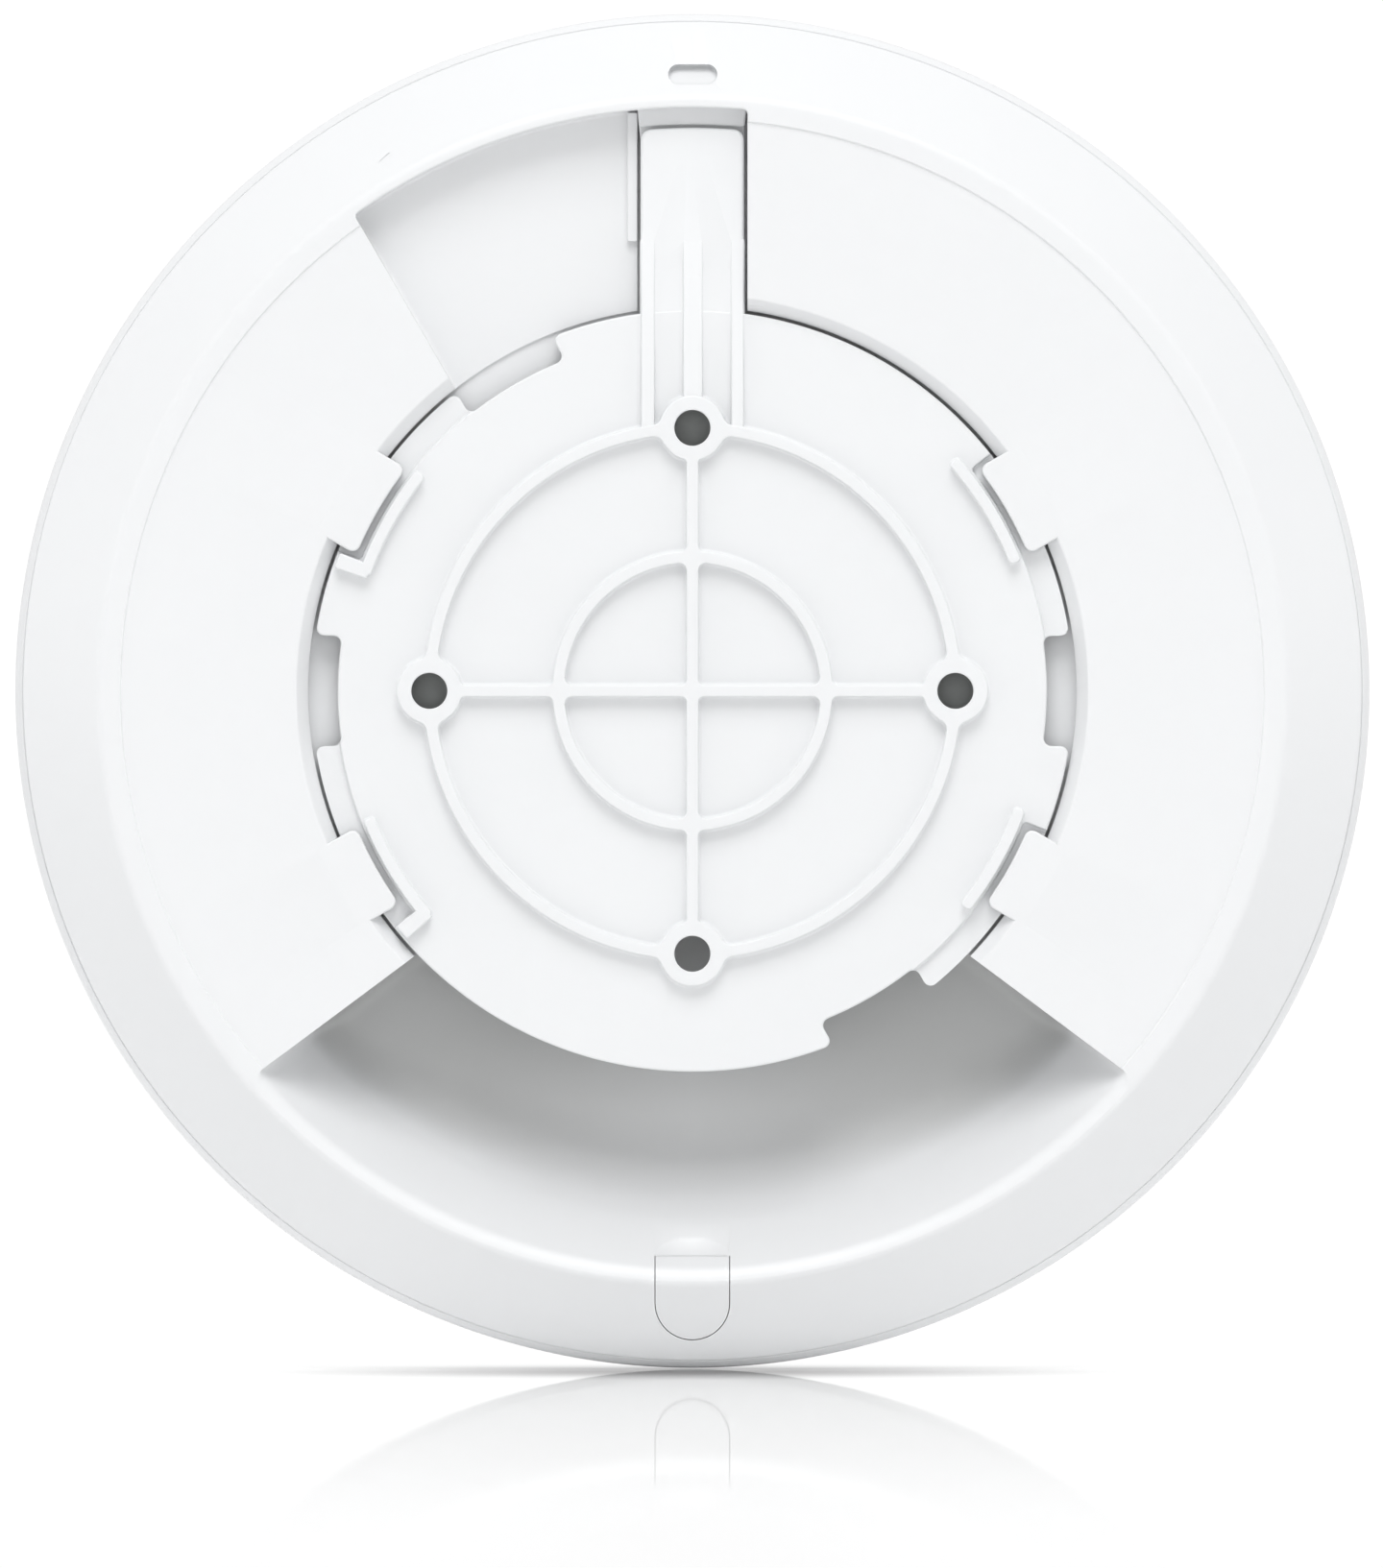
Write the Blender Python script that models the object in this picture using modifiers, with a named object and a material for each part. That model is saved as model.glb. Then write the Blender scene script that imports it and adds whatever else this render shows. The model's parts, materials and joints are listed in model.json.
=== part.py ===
"""Ceiling access point on its twist-lock ceiling bracket, standing on its edge.

Everything is modelled in a flat "mounting frame": x to the right and y up as seen from the mounting
side, z out of the mounting plane towards the ceiling.  The empty "mount_plane" turns that frame
upright, so that z points along world -Y and y along world +Z.  Depths below the mounting plane are
therefore negative z values here and positive world Y values.
"""

import math

import bmesh
import bpy
from mathutils import Matrix, Vector

MM = 0.001
TOUCH = 0.3 * MM  # clearance kept between pieces that touch
CUT_SPARE = 1.0 * MM  # how far a cutter reaches past the face it opens
SEGMENTS = 72  # sides of the large round shapes
SMALL_SEGMENTS = 20  # sides of screws, bosses and capacitors

# Outside of the access point
BODY_RADIUS = 80.0 * MM
BODY_DEPTH = 33.0 * MM
WALL = 1.8 * MM
RIM_RADIUS = 70.0 * MM  # where the flat rear ring turns into the sloped rim
SHELL_RADIUS = 79.0 * MM  # outer edge of the rear shell at the parting line
PARTING_Z = -9.9 * MM
DOME_START_Z = -13.0 * MM
DOME_POWER = 0.8  # exponent of the superellipse that rounds the front cover
COVER_WALL = 2.2 * MM
PLATEAU_RADIUS = 67.3 * MM
PLATEAU_Z = -0.25 * MM
DECK_MIDDLE = PLATEAU_Z - WALL / 2
ABOVE = 2.0 * MM  # height above the mounting plane to which cutters reach

# Opening that takes the bracket
OPENING_RADIUS = 45.3 * MM
OPENING_TOP_RADIUS = 46.7 * MM
LEDGE_RADIUS = 38.0 * MM
LEDGE_Z = -5.0 * MM

# Bracket
PLATE_RADIUS = 44.9 * MM
PLATE_TOP = -1.5 * MM
PLATE_BOTTOM = -3.8 * MM
RIB_WIDTH = 1.4 * MM
RING_RADIUS = 31.0 * MM  # the screw holes sit on this ring
HUB_RADIUS = 15.8 * MM
BOSS_RADIUS = 3.84 * MM
SCREW_HOLE_RADIUS = 2.12 * MM

# Twist lock
TWIST = 30.0  # degrees between locked and free
TAB_ANGLES = (30.0, 150.0, 210.0, 330.0)
TAB_HALF = 5.9 * MM
TAB_SHORT_HALF = 4.5 * MM
TAB_INNER = 42.7 * MM
TAB_TOP = -0.35 * MM
TAB_BOTTOM = -1.9 * MM
NOTCH_HALF = 6.5 * MM
NOTCH_INNER = 41.8 * MM
FLANGE_TOP = -2.25 * MM
STOP_ANGLE = 8.5  # degrees from a tab's middle to the wall that stops it
LANE_INNER = 42.0 * MM
LANE_OUTER = 47.0 * MM
LANE_RIB_INNER = 40.3 * MM
LANE_RIB_OUTER = 41.7 * MM
LANE_RIB_TOP = -0.1 * MM
LANE_RIBS = ((21.6, 41.4), (141.4, 160.6), (201.5, 220.8), (-38.5, -19.8))  # degrees
STOP_LEGS = ((158.9, 160.4), (218.9, 220.6))  # degrees
STOP_LEG_OUTER = 44.6 * MM

# Latch arm
ARM_HALF = 6.1 * MM
ARM_ROOT = 44.6 * MM
ARM_TIP = 66.4 * MM
ARM_TOP = -2.0 * MM
ARM_BOTTOM = -3.6 * MM
ARM_RIB_END = 52.7 * MM
ARM_RIB_BEND = 47.0 * MM  # where the ribs start to fall towards the arm
ARM_RIBS = ((-6.0 * MM, -4.5 * MM), (-1.05 * MM, 1.15 * MM), (4.6 * MM, 6.0 * MM))
ARM_RIB_TOP = -0.05 * MM
LATCH_AXIS = Vector((0.0, 44.45 * MM, -2.8 * MM))

# Recesses in the rear shell
RECESS_RADIUS = 68.8 * MM
ARM_RECESS_FLOOR = -4.6 * MM
ARM_RECESS_RIGHT = 6.5 * MM
ARM_RECESS_LEFT = 6.46 * MM
DETENT_X = (-7.15 * MM, -6.45 * MM)
DETENT_Y = (53.0 * MM, 68.0 * MM)
RELEASE_SLOT_Y = 72.7 * MM
RELEASE_SLOT_HALF = 1.7 * MM
RELEASE_SLOT_RADIUS = 1.2 * MM
RELEASE_SLOT_DEPTH = 1.5 * MM
CABLE_FLOOR = -15.0 * MM
CABLE_WALL_Y = -24.0 * MM
CABLE_WALL_HALF = 23.0 * MM
CABLE_SIDE_ANGLE = 36.7  # degrees by which the recess's side walls fall away from the horizontal
RAMP_START = 50.0 * MM
RAMP_END = 69.9 * MM
RAMP_SLOPE = 55.0
RAMP_ROOT_RADIUS = 15.5 * MM
RAMP_LIP_RADIUS = 2.5 * MM
PLUG_HALF = 4.4 * MM
PLUG_INNER = 66.6 * MM
PLUG_OUTER = 76.6 * MM

# Inside
PLATE_METAL_TOP = -7.1 * MM
PLATE_METAL_BOTTOM = -8.3 * MM
BOARD_TOP = -18.6 * MM
BOARD_BOTTOM = -20.2 * MM
BOARD_RADIUS = 62.0 * MM
CONTACTS = 8
JACK_HALF = 8.0 * MM
JACK_MOUTH_Y = -22.2 * MM
JACK_BACK_Y = -6.2 * MM
JACK_TOP = -5.4 * MM
SOCKET_HALF = 5.9 * MM
SOCKET_TOP = -6.2 * MM
SOCKET_BOTTOM = -14.4 * MM
CASE_SCREWS = (
    (33.0 * MM, -6.0 * MM),
    (20.0 * MM, 28.0 * MM),
    (-20.0 * MM, 28.0 * MM),
    (-33.0 * MM, -6.0 * MM),
)
SCREW_SHANK = 1.3 * MM
SCREW_CLEARANCE = 1.7 * MM
SCREW_HEAD_RADIUS = 2.8 * MM
SCREW_END = -28.3 * MM
RESET_X = 13.2 * MM
RESET_Z = -11.5 * MM
LIGHT_INNER = 15.3 * MM
LIGHT_OUTER = 16.7 * MM
LIGHT_TOP = -32.15 * MM
LIGHT_FACE = -32.8 * MM
GUIDE_INNER = 14.8 * MM
GUIDE_OUTER = 17.2 * MM
GUIDE_TOP = -21.9 * MM
GUIDE_BOTTOM = -30.1 * MM

for old in list(bpy.data.objects):
    bpy.data.objects.remove(old, do_unlink=True)

parts = bpy.data.collections.new("ceiling_access_point")
cutters = bpy.data.collections.new("cutters")
bpy.context.scene.collection.children.link(parts)
bpy.context.scene.collection.children.link(cutters)


# ---------------------------------------------------------------- outlines

def arc(radius, start, end, steps, centre=(0.0, 0.0)):
    """Points along an arc from start to end, in degrees, both ends included."""
    points = []
    for step in range(steps + 1):
        angle = math.radians(start + (end - start) * step / steps)
        points.append((centre[0] + radius * math.cos(angle), centre[1] + radius * math.sin(angle)))
    return points


def circle(radius, sides=SEGMENTS, centre=(0.0, 0.0)):
    return arc(radius, 0.0, 360.0 * (sides - 1) / sides, sides - 1, centre)


def arc_steps(start, end):
    """Steps that keep an arc as finely divided as the full circle."""
    return max(1, round(abs(end - start) * SEGMENTS / 360.0))


def sector(inner, outer, start, end):
    """Outline of a ring sector."""
    steps = arc_steps(start, end)
    return arc(outer, start, end, steps) + arc(inner, end, start, steps)


def polar(radius, angle, across=0.0):
    """Point at radius along a direction, moved sideways (counter-clockwise) by across."""
    direction = math.radians(angle)
    x = radius * math.cos(direction) - across * math.sin(direction)
    y = radius * math.sin(direction) + across * math.cos(direction)
    return (x, y)


def edge_angle(half, radius):
    """Angle, in degrees, that a sideways distance takes at a radius."""
    return math.degrees(math.asin(half / radius))


# ---------------------------------------------------------------- solids

def evaluated_mesh(obj):
    graph = bpy.context.evaluated_depsgraph_get()
    return bpy.data.meshes.new_from_object(obj.evaluated_get(graph))


def tidy(mesh, keep_normals=False):
    """Weld a mesh, drop stray edges and, unless a Boolean made it, turn its faces outwards."""
    bm = bmesh.new()
    bm.from_mesh(mesh)
    bmesh.ops.remove_doubles(bm, verts=bm.verts, dist=0.002 * MM)
    loose = [edge for edge in bm.edges if not edge.link_faces]
    bmesh.ops.delete(bm, geom=loose, context="EDGES")
    if not keep_normals:
        bmesh.ops.recalc_face_normals(bm, faces=bm.faces)
    bm.to_mesh(mesh)
    bm.free()
    return mesh


def solid_from_mesh(name, mesh):
    obj = bpy.data.objects.new(name, mesh)
    parts.objects.link(obj)
    return obj


def turned(name, profile, sides=SEGMENTS, closed=True):
    """Turn a profile of (radius, height) points about z with a Screw modifier."""
    area = 0.0
    for (r0, z0), (r1, z1) in zip(profile, profile[1:] + profile[:1]):
        area += r0 * z1 - r1 * z0
    if area > 0.0:
        profile = profile[::-1]
    bm = bmesh.new()
    verts = [bm.verts.new((r, 0.0, z)) for r, z in profile]
    for first, second in zip(verts, verts[1:]):
        bm.edges.new((first, second))
    if closed:
        bm.edges.new((verts[-1], verts[0]))
    mesh = bpy.data.meshes.new(name)
    bm.to_mesh(mesh)
    bm.free()
    obj = solid_from_mesh(name, mesh)
    screw = obj.modifiers.new("turn", "SCREW")
    screw.steps = sides
    screw.render_steps = sides
    screw.use_merge_vertices = True
    screw.merge_threshold = 0.001 * MM
    obj.data = tidy(evaluated_mesh(obj))
    obj.modifiers.clear()
    return obj


def pipe(name, inner, outer, z_low, z_high, sides=SEGMENTS):
    return turned(name, [(inner, z_low), (inner, z_high), (outer, z_high), (outer, z_low)], sides)


def prism(name, outlines, bottom, top, turn=None):
    """Extrude a flat outline, with any further outlines as holes, between two heights."""
    curve = bpy.data.curves.new(name, "CURVE")
    curve.dimensions = "2D"
    curve.fill_mode = "BOTH"
    curve.extrude = (top - bottom) / 2
    for outline in outlines:
        spline = curve.splines.new("POLY")
        spline.points.add(len(outline) - 1)
        for point, (x, y) in zip(spline.points, outline):
            point.co = (x, y, 0.0, 1.0)
        spline.use_cyclic_u = True
    guide = bpy.data.objects.new(name, curve)
    cutters.objects.link(guide)
    mesh = evaluated_mesh(guide)
    bpy.data.objects.remove(guide, do_unlink=True)
    mesh.transform(Matrix.Translation((0.0, 0.0, (top + bottom) / 2)))
    if turn is not None:
        mesh.transform(turn)
    return solid_from_mesh(name, tidy(mesh))


# Turns an outline drawn in (y, z) so that it is extruded along x
ALONG_X = Matrix(((0, 0, 1, 0), (1, 0, 0, 0), (0, 1, 0, 0), (0, 0, 0, 1)))


def box(name, x_low, x_high, y_low, y_high, z_low, z_high):
    bm = bmesh.new()
    size = Matrix.Diagonal((x_high - x_low, y_high - y_low, z_high - z_low, 1.0))
    middle = Matrix.Translation(((x_low + x_high) / 2, (y_low + y_high) / 2, (z_low + z_high) / 2))
    bmesh.ops.create_cube(bm, size=1.0, matrix=middle @ size)
    mesh = bpy.data.meshes.new(name)
    bm.to_mesh(mesh)
    bm.free()
    return solid_from_mesh(name, mesh)


def centred_box(name, x, y, width, length, z_low, z_high):
    return box(name, x - width / 2, x + width / 2, y - length / 2, y + length / 2, z_low, z_high)


def cylinder(name, x, y, radius, z_low, z_high, sides=SMALL_SEGMENTS, axis="Z"):
    """Cylinder along z at (x, y), or along y at (x, z) when axis is Y."""
    bm = bmesh.new()
    bmesh.ops.create_cone(
        bm,
        cap_ends=True,
        segments=sides,
        radius1=radius,
        radius2=radius,
        depth=z_high - z_low,
        matrix=Matrix.Translation((x, y, (z_low + z_high) / 2)),
    )
    mesh = bpy.data.meshes.new(name)
    bm.to_mesh(mesh)
    bm.free()
    if axis == "Y":
        mesh.transform(Matrix(((1, 0, 0, 0), (0, 0, 1, 0), (0, 1, 0, 0), (0, 0, 0, 1))))
        mesh.flip_normals()
    return solid_from_mesh(name, mesh)


def combine(target, other, operation):
    """Apply one Boolean and put the other solid away as a hidden cutter."""
    parts.objects.unlink(other)
    cutters.objects.link(other)
    other.hide_render = True
    other.display_type = "WIRE"
    modifier = target.modifiers.new(operation.lower(), "BOOLEAN")
    modifier.operation = operation
    modifier.object = other
    target.data = tidy(evaluated_mesh(target), keep_normals=True)
    target.modifiers.clear()
    return target


def cut(target, *others):
    for other in others:
        combine(target, other, "DIFFERENCE")
    return target


def join(target, *others):
    for other in others:
        combine(target, other, "UNION")
    return target


def keep_common(target, other):
    return combine(target, other, "INTERSECT")


def copy_of(obj, name):
    return solid_from_mesh(name, obj.data.copy())


# ---------------------------------------------------------------- materials and placing

FINISHES = {
    "white_plastic": ((0.88, 0.89, 0.90), 0.45, 0.0),
    "bracket_plastic": ((0.88, 0.90, 0.91), 0.5, 0.0),
    "clear_plastic": ((0.80, 0.84, 0.88), 0.25, 0.0),
    "steel": ((0.33, 0.34, 0.34), 0.45, 1.0),
    "aluminium": ((0.72, 0.73, 0.74), 0.4, 1.0),
    "circuit_board": ((0.02, 0.10, 0.05), 0.4, 0.0),
    "chip_black": ((0.03, 0.03, 0.035), 0.5, 0.0),
    "pad_grey": ((0.45, 0.52, 0.60), 0.8, 0.0),
    "tinned_steel": ((0.66, 0.67, 0.68), 0.3, 1.0),
    "black_plastic": ((0.02, 0.02, 0.02), 0.5, 0.0),
    "gold": ((0.85, 0.62, 0.25), 0.3, 1.0),
    "brass": ((0.78, 0.62, 0.32), 0.35, 1.0),
    "ferrite": ((0.10, 0.10, 0.11), 0.7, 0.0),
    "led_white": ((0.90, 0.90, 0.82), 0.3, 0.0),
}


def finish(obj, name):
    """Give an object its own Principled material."""
    colour, roughness, metallic = FINISHES[name]
    material = bpy.data.materials.new(f"{obj.name}_{name}")
    material.use_nodes = True
    shader = material.node_tree.nodes["Principled BSDF"]
    shader.inputs["Base Color"].default_value = (*colour, 1.0)
    shader.inputs["Roughness"].default_value = roughness
    shader.inputs["Metallic"].default_value = metallic
    obj.data.materials.clear()
    obj.data.materials.append(material)
    obj.data.shade_smooth()
    obj.data.set_sharp_from_angle(angle=math.radians(30.0))


def empty(name, parent=None, location=(0.0, 0.0, 0.0)):
    holder = bpy.data.objects.new(name, None)
    parts.objects.link(holder)
    holder.parent = parent
    holder.location = location
    return holder


mount_plane = empty("mount_plane")
mount_plane.rotation_euler = (math.radians(90.0), 0.0, 0.0)
twist_axis = empty("twist_axis", mount_plane)
latch_axis = empty("latch_axis", mount_plane, LATCH_AXIS)
plug_axis = empty("plug_axis", twist_axis, (0.0, -(PLUG_INNER + PLUG_OUTER) / 2, 0.0))
reset_axis = empty("reset_axis", twist_axis, (RESET_X, CABLE_WALL_Y, RESET_Z))


def place(obj, holder, finish_name):
    """Hang a finished solid on its body's empty without moving it."""
    offset = Vector((0.0, 0.0, 0.0))
    step = holder
    while step is not None and step is not mount_plane:
        offset += step.location
        step = step.parent
    obj.parent = holder
    obj.location = -offset
    finish(obj, finish_name)


# ---------------------------------------------------------------- bracket

def cut_notches(plate):
    """Open the four notches that let the tabs through, and the flat where the latch arm starts."""
    low = PLATE_BOTTOM - CUT_SPARE
    beyond = PLATE_RADIUS + 5.0 * MM
    root = edge_angle(NOTCH_HALF, NOTCH_INNER)
    for number, tab in enumerate(TAB_ANGLES):
        notch = tab - TWIST
        outline = arc(NOTCH_INNER, notch + root, notch - root, 4)
        outline += [polar(beyond, notch, -NOTCH_HALF), polar(beyond, notch, NOTCH_HALF)]
        cut(plate, prism(f"notch_{number}", [outline], low, CUT_SPARE))
    cut(plate, box("arm_flat", -NOTCH_HALF, NOTCH_HALF, ARM_ROOT - TOUCH, beyond, low, CUT_SPARE))


def rib_ring(name, radius):
    half = RIB_WIDTH / 2
    return pipe(name, radius - half, radius + half, PLATE_TOP - 0.5 * MM, 0.0)


def build_bracket():
    """Plate that is screwed to the ceiling."""
    plate = cylinder("bracket_plate", 0.0, 0.0, PLATE_RADIUS, PLATE_BOTTOM, PLATE_TOP, SEGMENTS)
    cut_notches(plate)
    for number, tab in enumerate(TAB_ANGLES):
        lane = sector(LANE_INNER, LANE_OUTER, tab - TWIST, tab + STOP_ANGLE)
        cut(plate, prism(f"tab_lane_{number}", [lane], FLANGE_TOP, CUT_SPARE))

    rib_low = PLATE_TOP - 0.5 * MM
    half = RIB_WIDTH / 2
    ribs = rib_ring("ring_rib", RING_RADIUS)
    join(ribs, rib_ring("hub_rib", HUB_RADIUS))
    join(ribs, box("cross_rib_x", -RING_RADIUS, RING_RADIUS, -half, half, rib_low, 0.0))
    join(ribs, box("cross_rib_y", -half, half, -RING_RADIUS, RING_RADIUS, rib_low, 0.0))
    for number in range(4):
        x, y = polar(RING_RADIUS, 90.0 * number)
        join(ribs, cylinder(f"boss_{number}", x, y, BOSS_RADIUS, rib_low, 0.0, sides=24))
    join(plate, ribs)

    arm_rib_high = ARM_ROOT - 0.5 * MM
    for number, (left, right) in enumerate(ARM_RIBS):
        name = f"plate_arm_rib_{number}"
        join(plate, box(name, left, right, RING_RADIUS, arm_rib_high, rib_low, ARM_RIB_TOP))

    for number, (start, end) in enumerate(LANE_RIBS):
        outline = sector(LANE_RIB_INNER, LANE_RIB_OUTER, start, end)
        join(plate, prism(f"lane_rib_{number}", [outline], rib_low, LANE_RIB_TOP))
    for number, (start, end) in enumerate(STOP_LEGS):
        outline = sector(LANE_RIB_INNER + 0.5 * MM, STOP_LEG_OUTER, start, end)
        join(plate, prism(f"stop_leg_{number}", [outline], rib_low, LANE_RIB_TOP))

    hole_low = PLATE_BOTTOM - CUT_SPARE
    for number in range(4):
        x, y = polar(RING_RADIUS, 90.0 * number)
        name = f"screw_hole_{number}"
        cut(plate, cylinder(name, x, y, SCREW_HOLE_RADIUS, hole_low, CUT_SPARE, sides=24))
    place(plate, mount_plane, "bracket_plastic")


def build_latch_arm():
    """Springy arm whose tip snaps past the detent rib in the rear shell."""
    corner = 1.3 * MM
    corner_angle = edge_angle(ARM_HALF - corner, ARM_TIP - corner)
    outline = [(-ARM_HALF, ARM_ROOT), (ARM_HALF, ARM_ROOT)]
    for side in (1, -1):
        centre = polar(ARM_TIP - corner, 90.0 - side * corner_angle)
        first = 0.0 if side > 0 else 90.0
        outline += arc(corner, first, first + 90.0, 4, centre)
    arm = prism("latch_arm", [outline], ARM_BOTTOM, ARM_TOP)
    low = ARM_TOP - 0.5 * MM
    start = ARM_ROOT + 0.2 * MM
    side_view = [
        (start, low),
        (ARM_RIB_END, low),
        (ARM_RIB_END, ARM_TOP + 0.1 * MM),
        (ARM_RIB_BEND, ARM_RIB_TOP - 0.25 * MM),
        (start, ARM_RIB_TOP),
    ]
    for number, (left, right) in enumerate(ARM_RIBS):
        join(arm, prism(f"arm_rib_{number}", [side_view], left, right, turn=ALONG_X))
    place(arm, latch_axis, "bracket_plastic")


# ---------------------------------------------------------------- rear shell

def ramp_profile(drop=0.0):
    """Floor and ramp of the cable recess from the centre out to the rim, lowered by drop."""
    slope = math.radians(RAMP_SLOPE)
    points = [(0.0, CABLE_FLOOR - drop)]
    for step in range(5):
        angle = slope * step / 4
        r = RAMP_START + RAMP_ROOT_RADIUS * math.sin(angle)
        z = CABLE_FLOOR + RAMP_ROOT_RADIUS * (1.0 - math.cos(angle))
        points.append((r + drop * math.sin(angle), z - drop * math.cos(angle)))
    for step in range(4):
        angle = slope * (3 - step) / 3
        r = RAMP_END - RAMP_LIP_RADIUS * math.sin(angle)
        z = -RAMP_LIP_RADIUS * (1.0 - math.cos(angle))
        points.append((r + drop * math.sin(angle), z - drop * math.cos(angle)))
    return points


def cable_recess_outline(grow=0.0, reach=RAMP_END):
    """Wedge between the jack wall and the rim; grow widens it on every side."""
    fall = math.radians(CABLE_SIDE_ANGLE)
    half = CABLE_WALL_HALF + grow / math.tan((math.pi / 2 + fall) / 2)
    top = CABLE_WALL_Y + grow
    along_x = math.cos(fall)
    along_y = -math.sin(fall)
    # distance along the side wall from its top corner out to the reach radius
    dot = half * along_x + top * along_y
    length = -dot + math.sqrt(dot * dot - half * half - top * top + reach * reach)
    right = (half + length * along_x, top + length * along_y)
    end = math.degrees(math.atan2(right[1], right[0]))
    rim = arc(reach, -180.0 - end, end, arc_steps(-180.0 - end, end))
    return [(half, top), (-half, top)] + rim


def arm_recess_outline(grow=0.0, inner=44.0 * MM):
    """Space in which the latch arm swings: from its own slot to a wall TWIST degrees further."""
    outer = RECESS_RADIUS + grow
    right = ARM_RECESS_RIGHT + grow
    left = ARM_RECESS_LEFT + grow
    start = 90.0 - edge_angle(right, outer)
    end = 90.0 + TWIST + edge_angle(left, outer)
    rim = arc(outer, start, end, arc_steps(start, end))
    inner_end = 90.0 + TWIST + edge_angle(left, inner)
    inner_start = 90.0 - edge_angle(right, inner)
    inside = arc(inner, inner_end, inner_start, arc_steps(inner_end, inner_start))
    return rim + inside


def shell_profile():
    """Section of the rear shell from the ledge under the bracket out to the skirt inside the cover."""
    cone_inner = RIM_RADIUS - WALL * math.sqrt(2.0)
    skirt_outer = SHELL_RADIUS - 0.8 * MM
    skirt_inner = skirt_outer - 1.4 * MM
    skirt_end = -12.0 * MM
    outer_z = RIM_RADIUS - SHELL_RADIUS
    deck = PLATEAU_Z - WALL
    return [
        (LEDGE_RADIUS, LEDGE_Z),
        (OPENING_RADIUS, LEDGE_Z),
        (OPENING_RADIUS, -2.2 * MM),
        (OPENING_TOP_RADIUS, PLATEAU_Z),
        (PLATEAU_RADIUS, PLATEAU_Z),
        (PLATEAU_RADIUS + 0.4 * MM, 0.0),
        (RIM_RADIUS, 0.0),
        (SHELL_RADIUS, outer_z),
        (SHELL_RADIUS, PARTING_Z + TOUCH),
        (skirt_outer, PARTING_Z + TOUCH),
        (skirt_outer, skirt_end),
        (skirt_inner, skirt_end),
        (skirt_inner, cone_inner - skirt_inner),
        (cone_inner - deck, deck),
        (OPENING_RADIUS + WALL, deck),
        (OPENING_RADIUS + WALL, LEDGE_Z - WALL),
        (LEDGE_RADIUS, LEDGE_Z - WALL),
    ]


def tab_outline(angle):
    """Bayonet tab; the two lower tabs are shorter on the side towards the cable recess."""
    before = TAB_SHORT_HALF if angle == 330.0 else TAB_HALF
    after = TAB_SHORT_HALF if angle == 210.0 else TAB_HALF
    outer = 48.0 * MM
    start = angle - edge_angle(before, TAB_INNER)
    end = angle + edge_angle(after, TAB_INNER)
    inner_edge = arc(TAB_INNER, start, end, 3)
    return inner_edge + [polar(outer, angle, after), polar(outer, angle, -before)]


def plug_outline(grow=0.0):
    """Round-ended cable knock-out, seen from the mounting side."""
    half = PLUG_HALF + grow
    centre = (0.0, -(PLUG_OUTER - PLUG_HALF))
    inner = -(PLUG_INNER - grow)
    return [(half, inner), (-half, inner)] + arc(half, 180.0, 360.0, 10, centre)


def on_rim_slope(obj):
    """Shear a cutter drawn at height 0 so that it follows the 45 degree slope at the top of the rim."""
    obj.data.transform(Matrix(((1, 0, 0, 0), (0, 1, 0, 0), (0, -1, 1, RIM_RADIUS), (0, 0, 0, 1))))
    return obj


def build_arm_recess(shell):
    """Tub and recess in which the latch arm swings."""
    tub_floor = ARM_RECESS_FLOOR - WALL
    tub_outline = arm_recess_outline(WALL, 46.0 * MM)
    join(shell, prism("arm_recess_tub", [tub_outline], tub_floor, DECK_MIDDLE))
    cut(shell, prism("arm_recess", [arm_recess_outline()], ARM_RECESS_FLOOR, ABOVE))
    detent_low = ARM_RECESS_FLOOR - 0.5 * MM
    detent_top = ARM_BOTTOM - 0.35 * MM
    join(shell, box("detent_rib", *DETENT_X, *DETENT_Y, detent_low, detent_top))


def build_cable_recess(shell):
    """Tub and bowl-shaped recess in which the network cable bends."""
    far_below = CABLE_FLOOR - 5.0 * MM
    tub_profile = ramp_profile(WALL) + [(RAMP_END, DECK_MIDDLE), (0.0, DECK_MIDDLE)]
    tub = turned("cable_recess_tub", tub_profile)
    tub_wedge = cable_recess_outline(WALL, RAMP_END + 0.4 * MM)
    keep_common(tub, prism("cable_tub_wedge", [tub_wedge], far_below, ABOVE))
    reach = OPENING_RADIUS + WALL / 2
    core_low = LEDGE_Z - 0.1 * MM
    keep_open = cylinder("opening_core", 0.0, 0.0, reach, core_low, ABOVE, SEGMENTS)
    head = box("tub_head", -reach, reach, -40.0 * MM, -20.0 * MM, core_low - CUT_SPARE, 2 * ABOVE)
    keep_common(keep_open, head)
    cut(tub, keep_open)
    join(shell, tub)
    bowl = turned("cable_bowl", ramp_profile() + [(RAMP_END, ABOVE), (0.0, ABOVE)])
    wedge = cable_recess_outline(reach=RAMP_END + 0.2 * MM)
    keep_common(bowl, prism("cable_wedge", [wedge], far_below, 2 * ABOVE))
    cut(shell, bowl)


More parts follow.
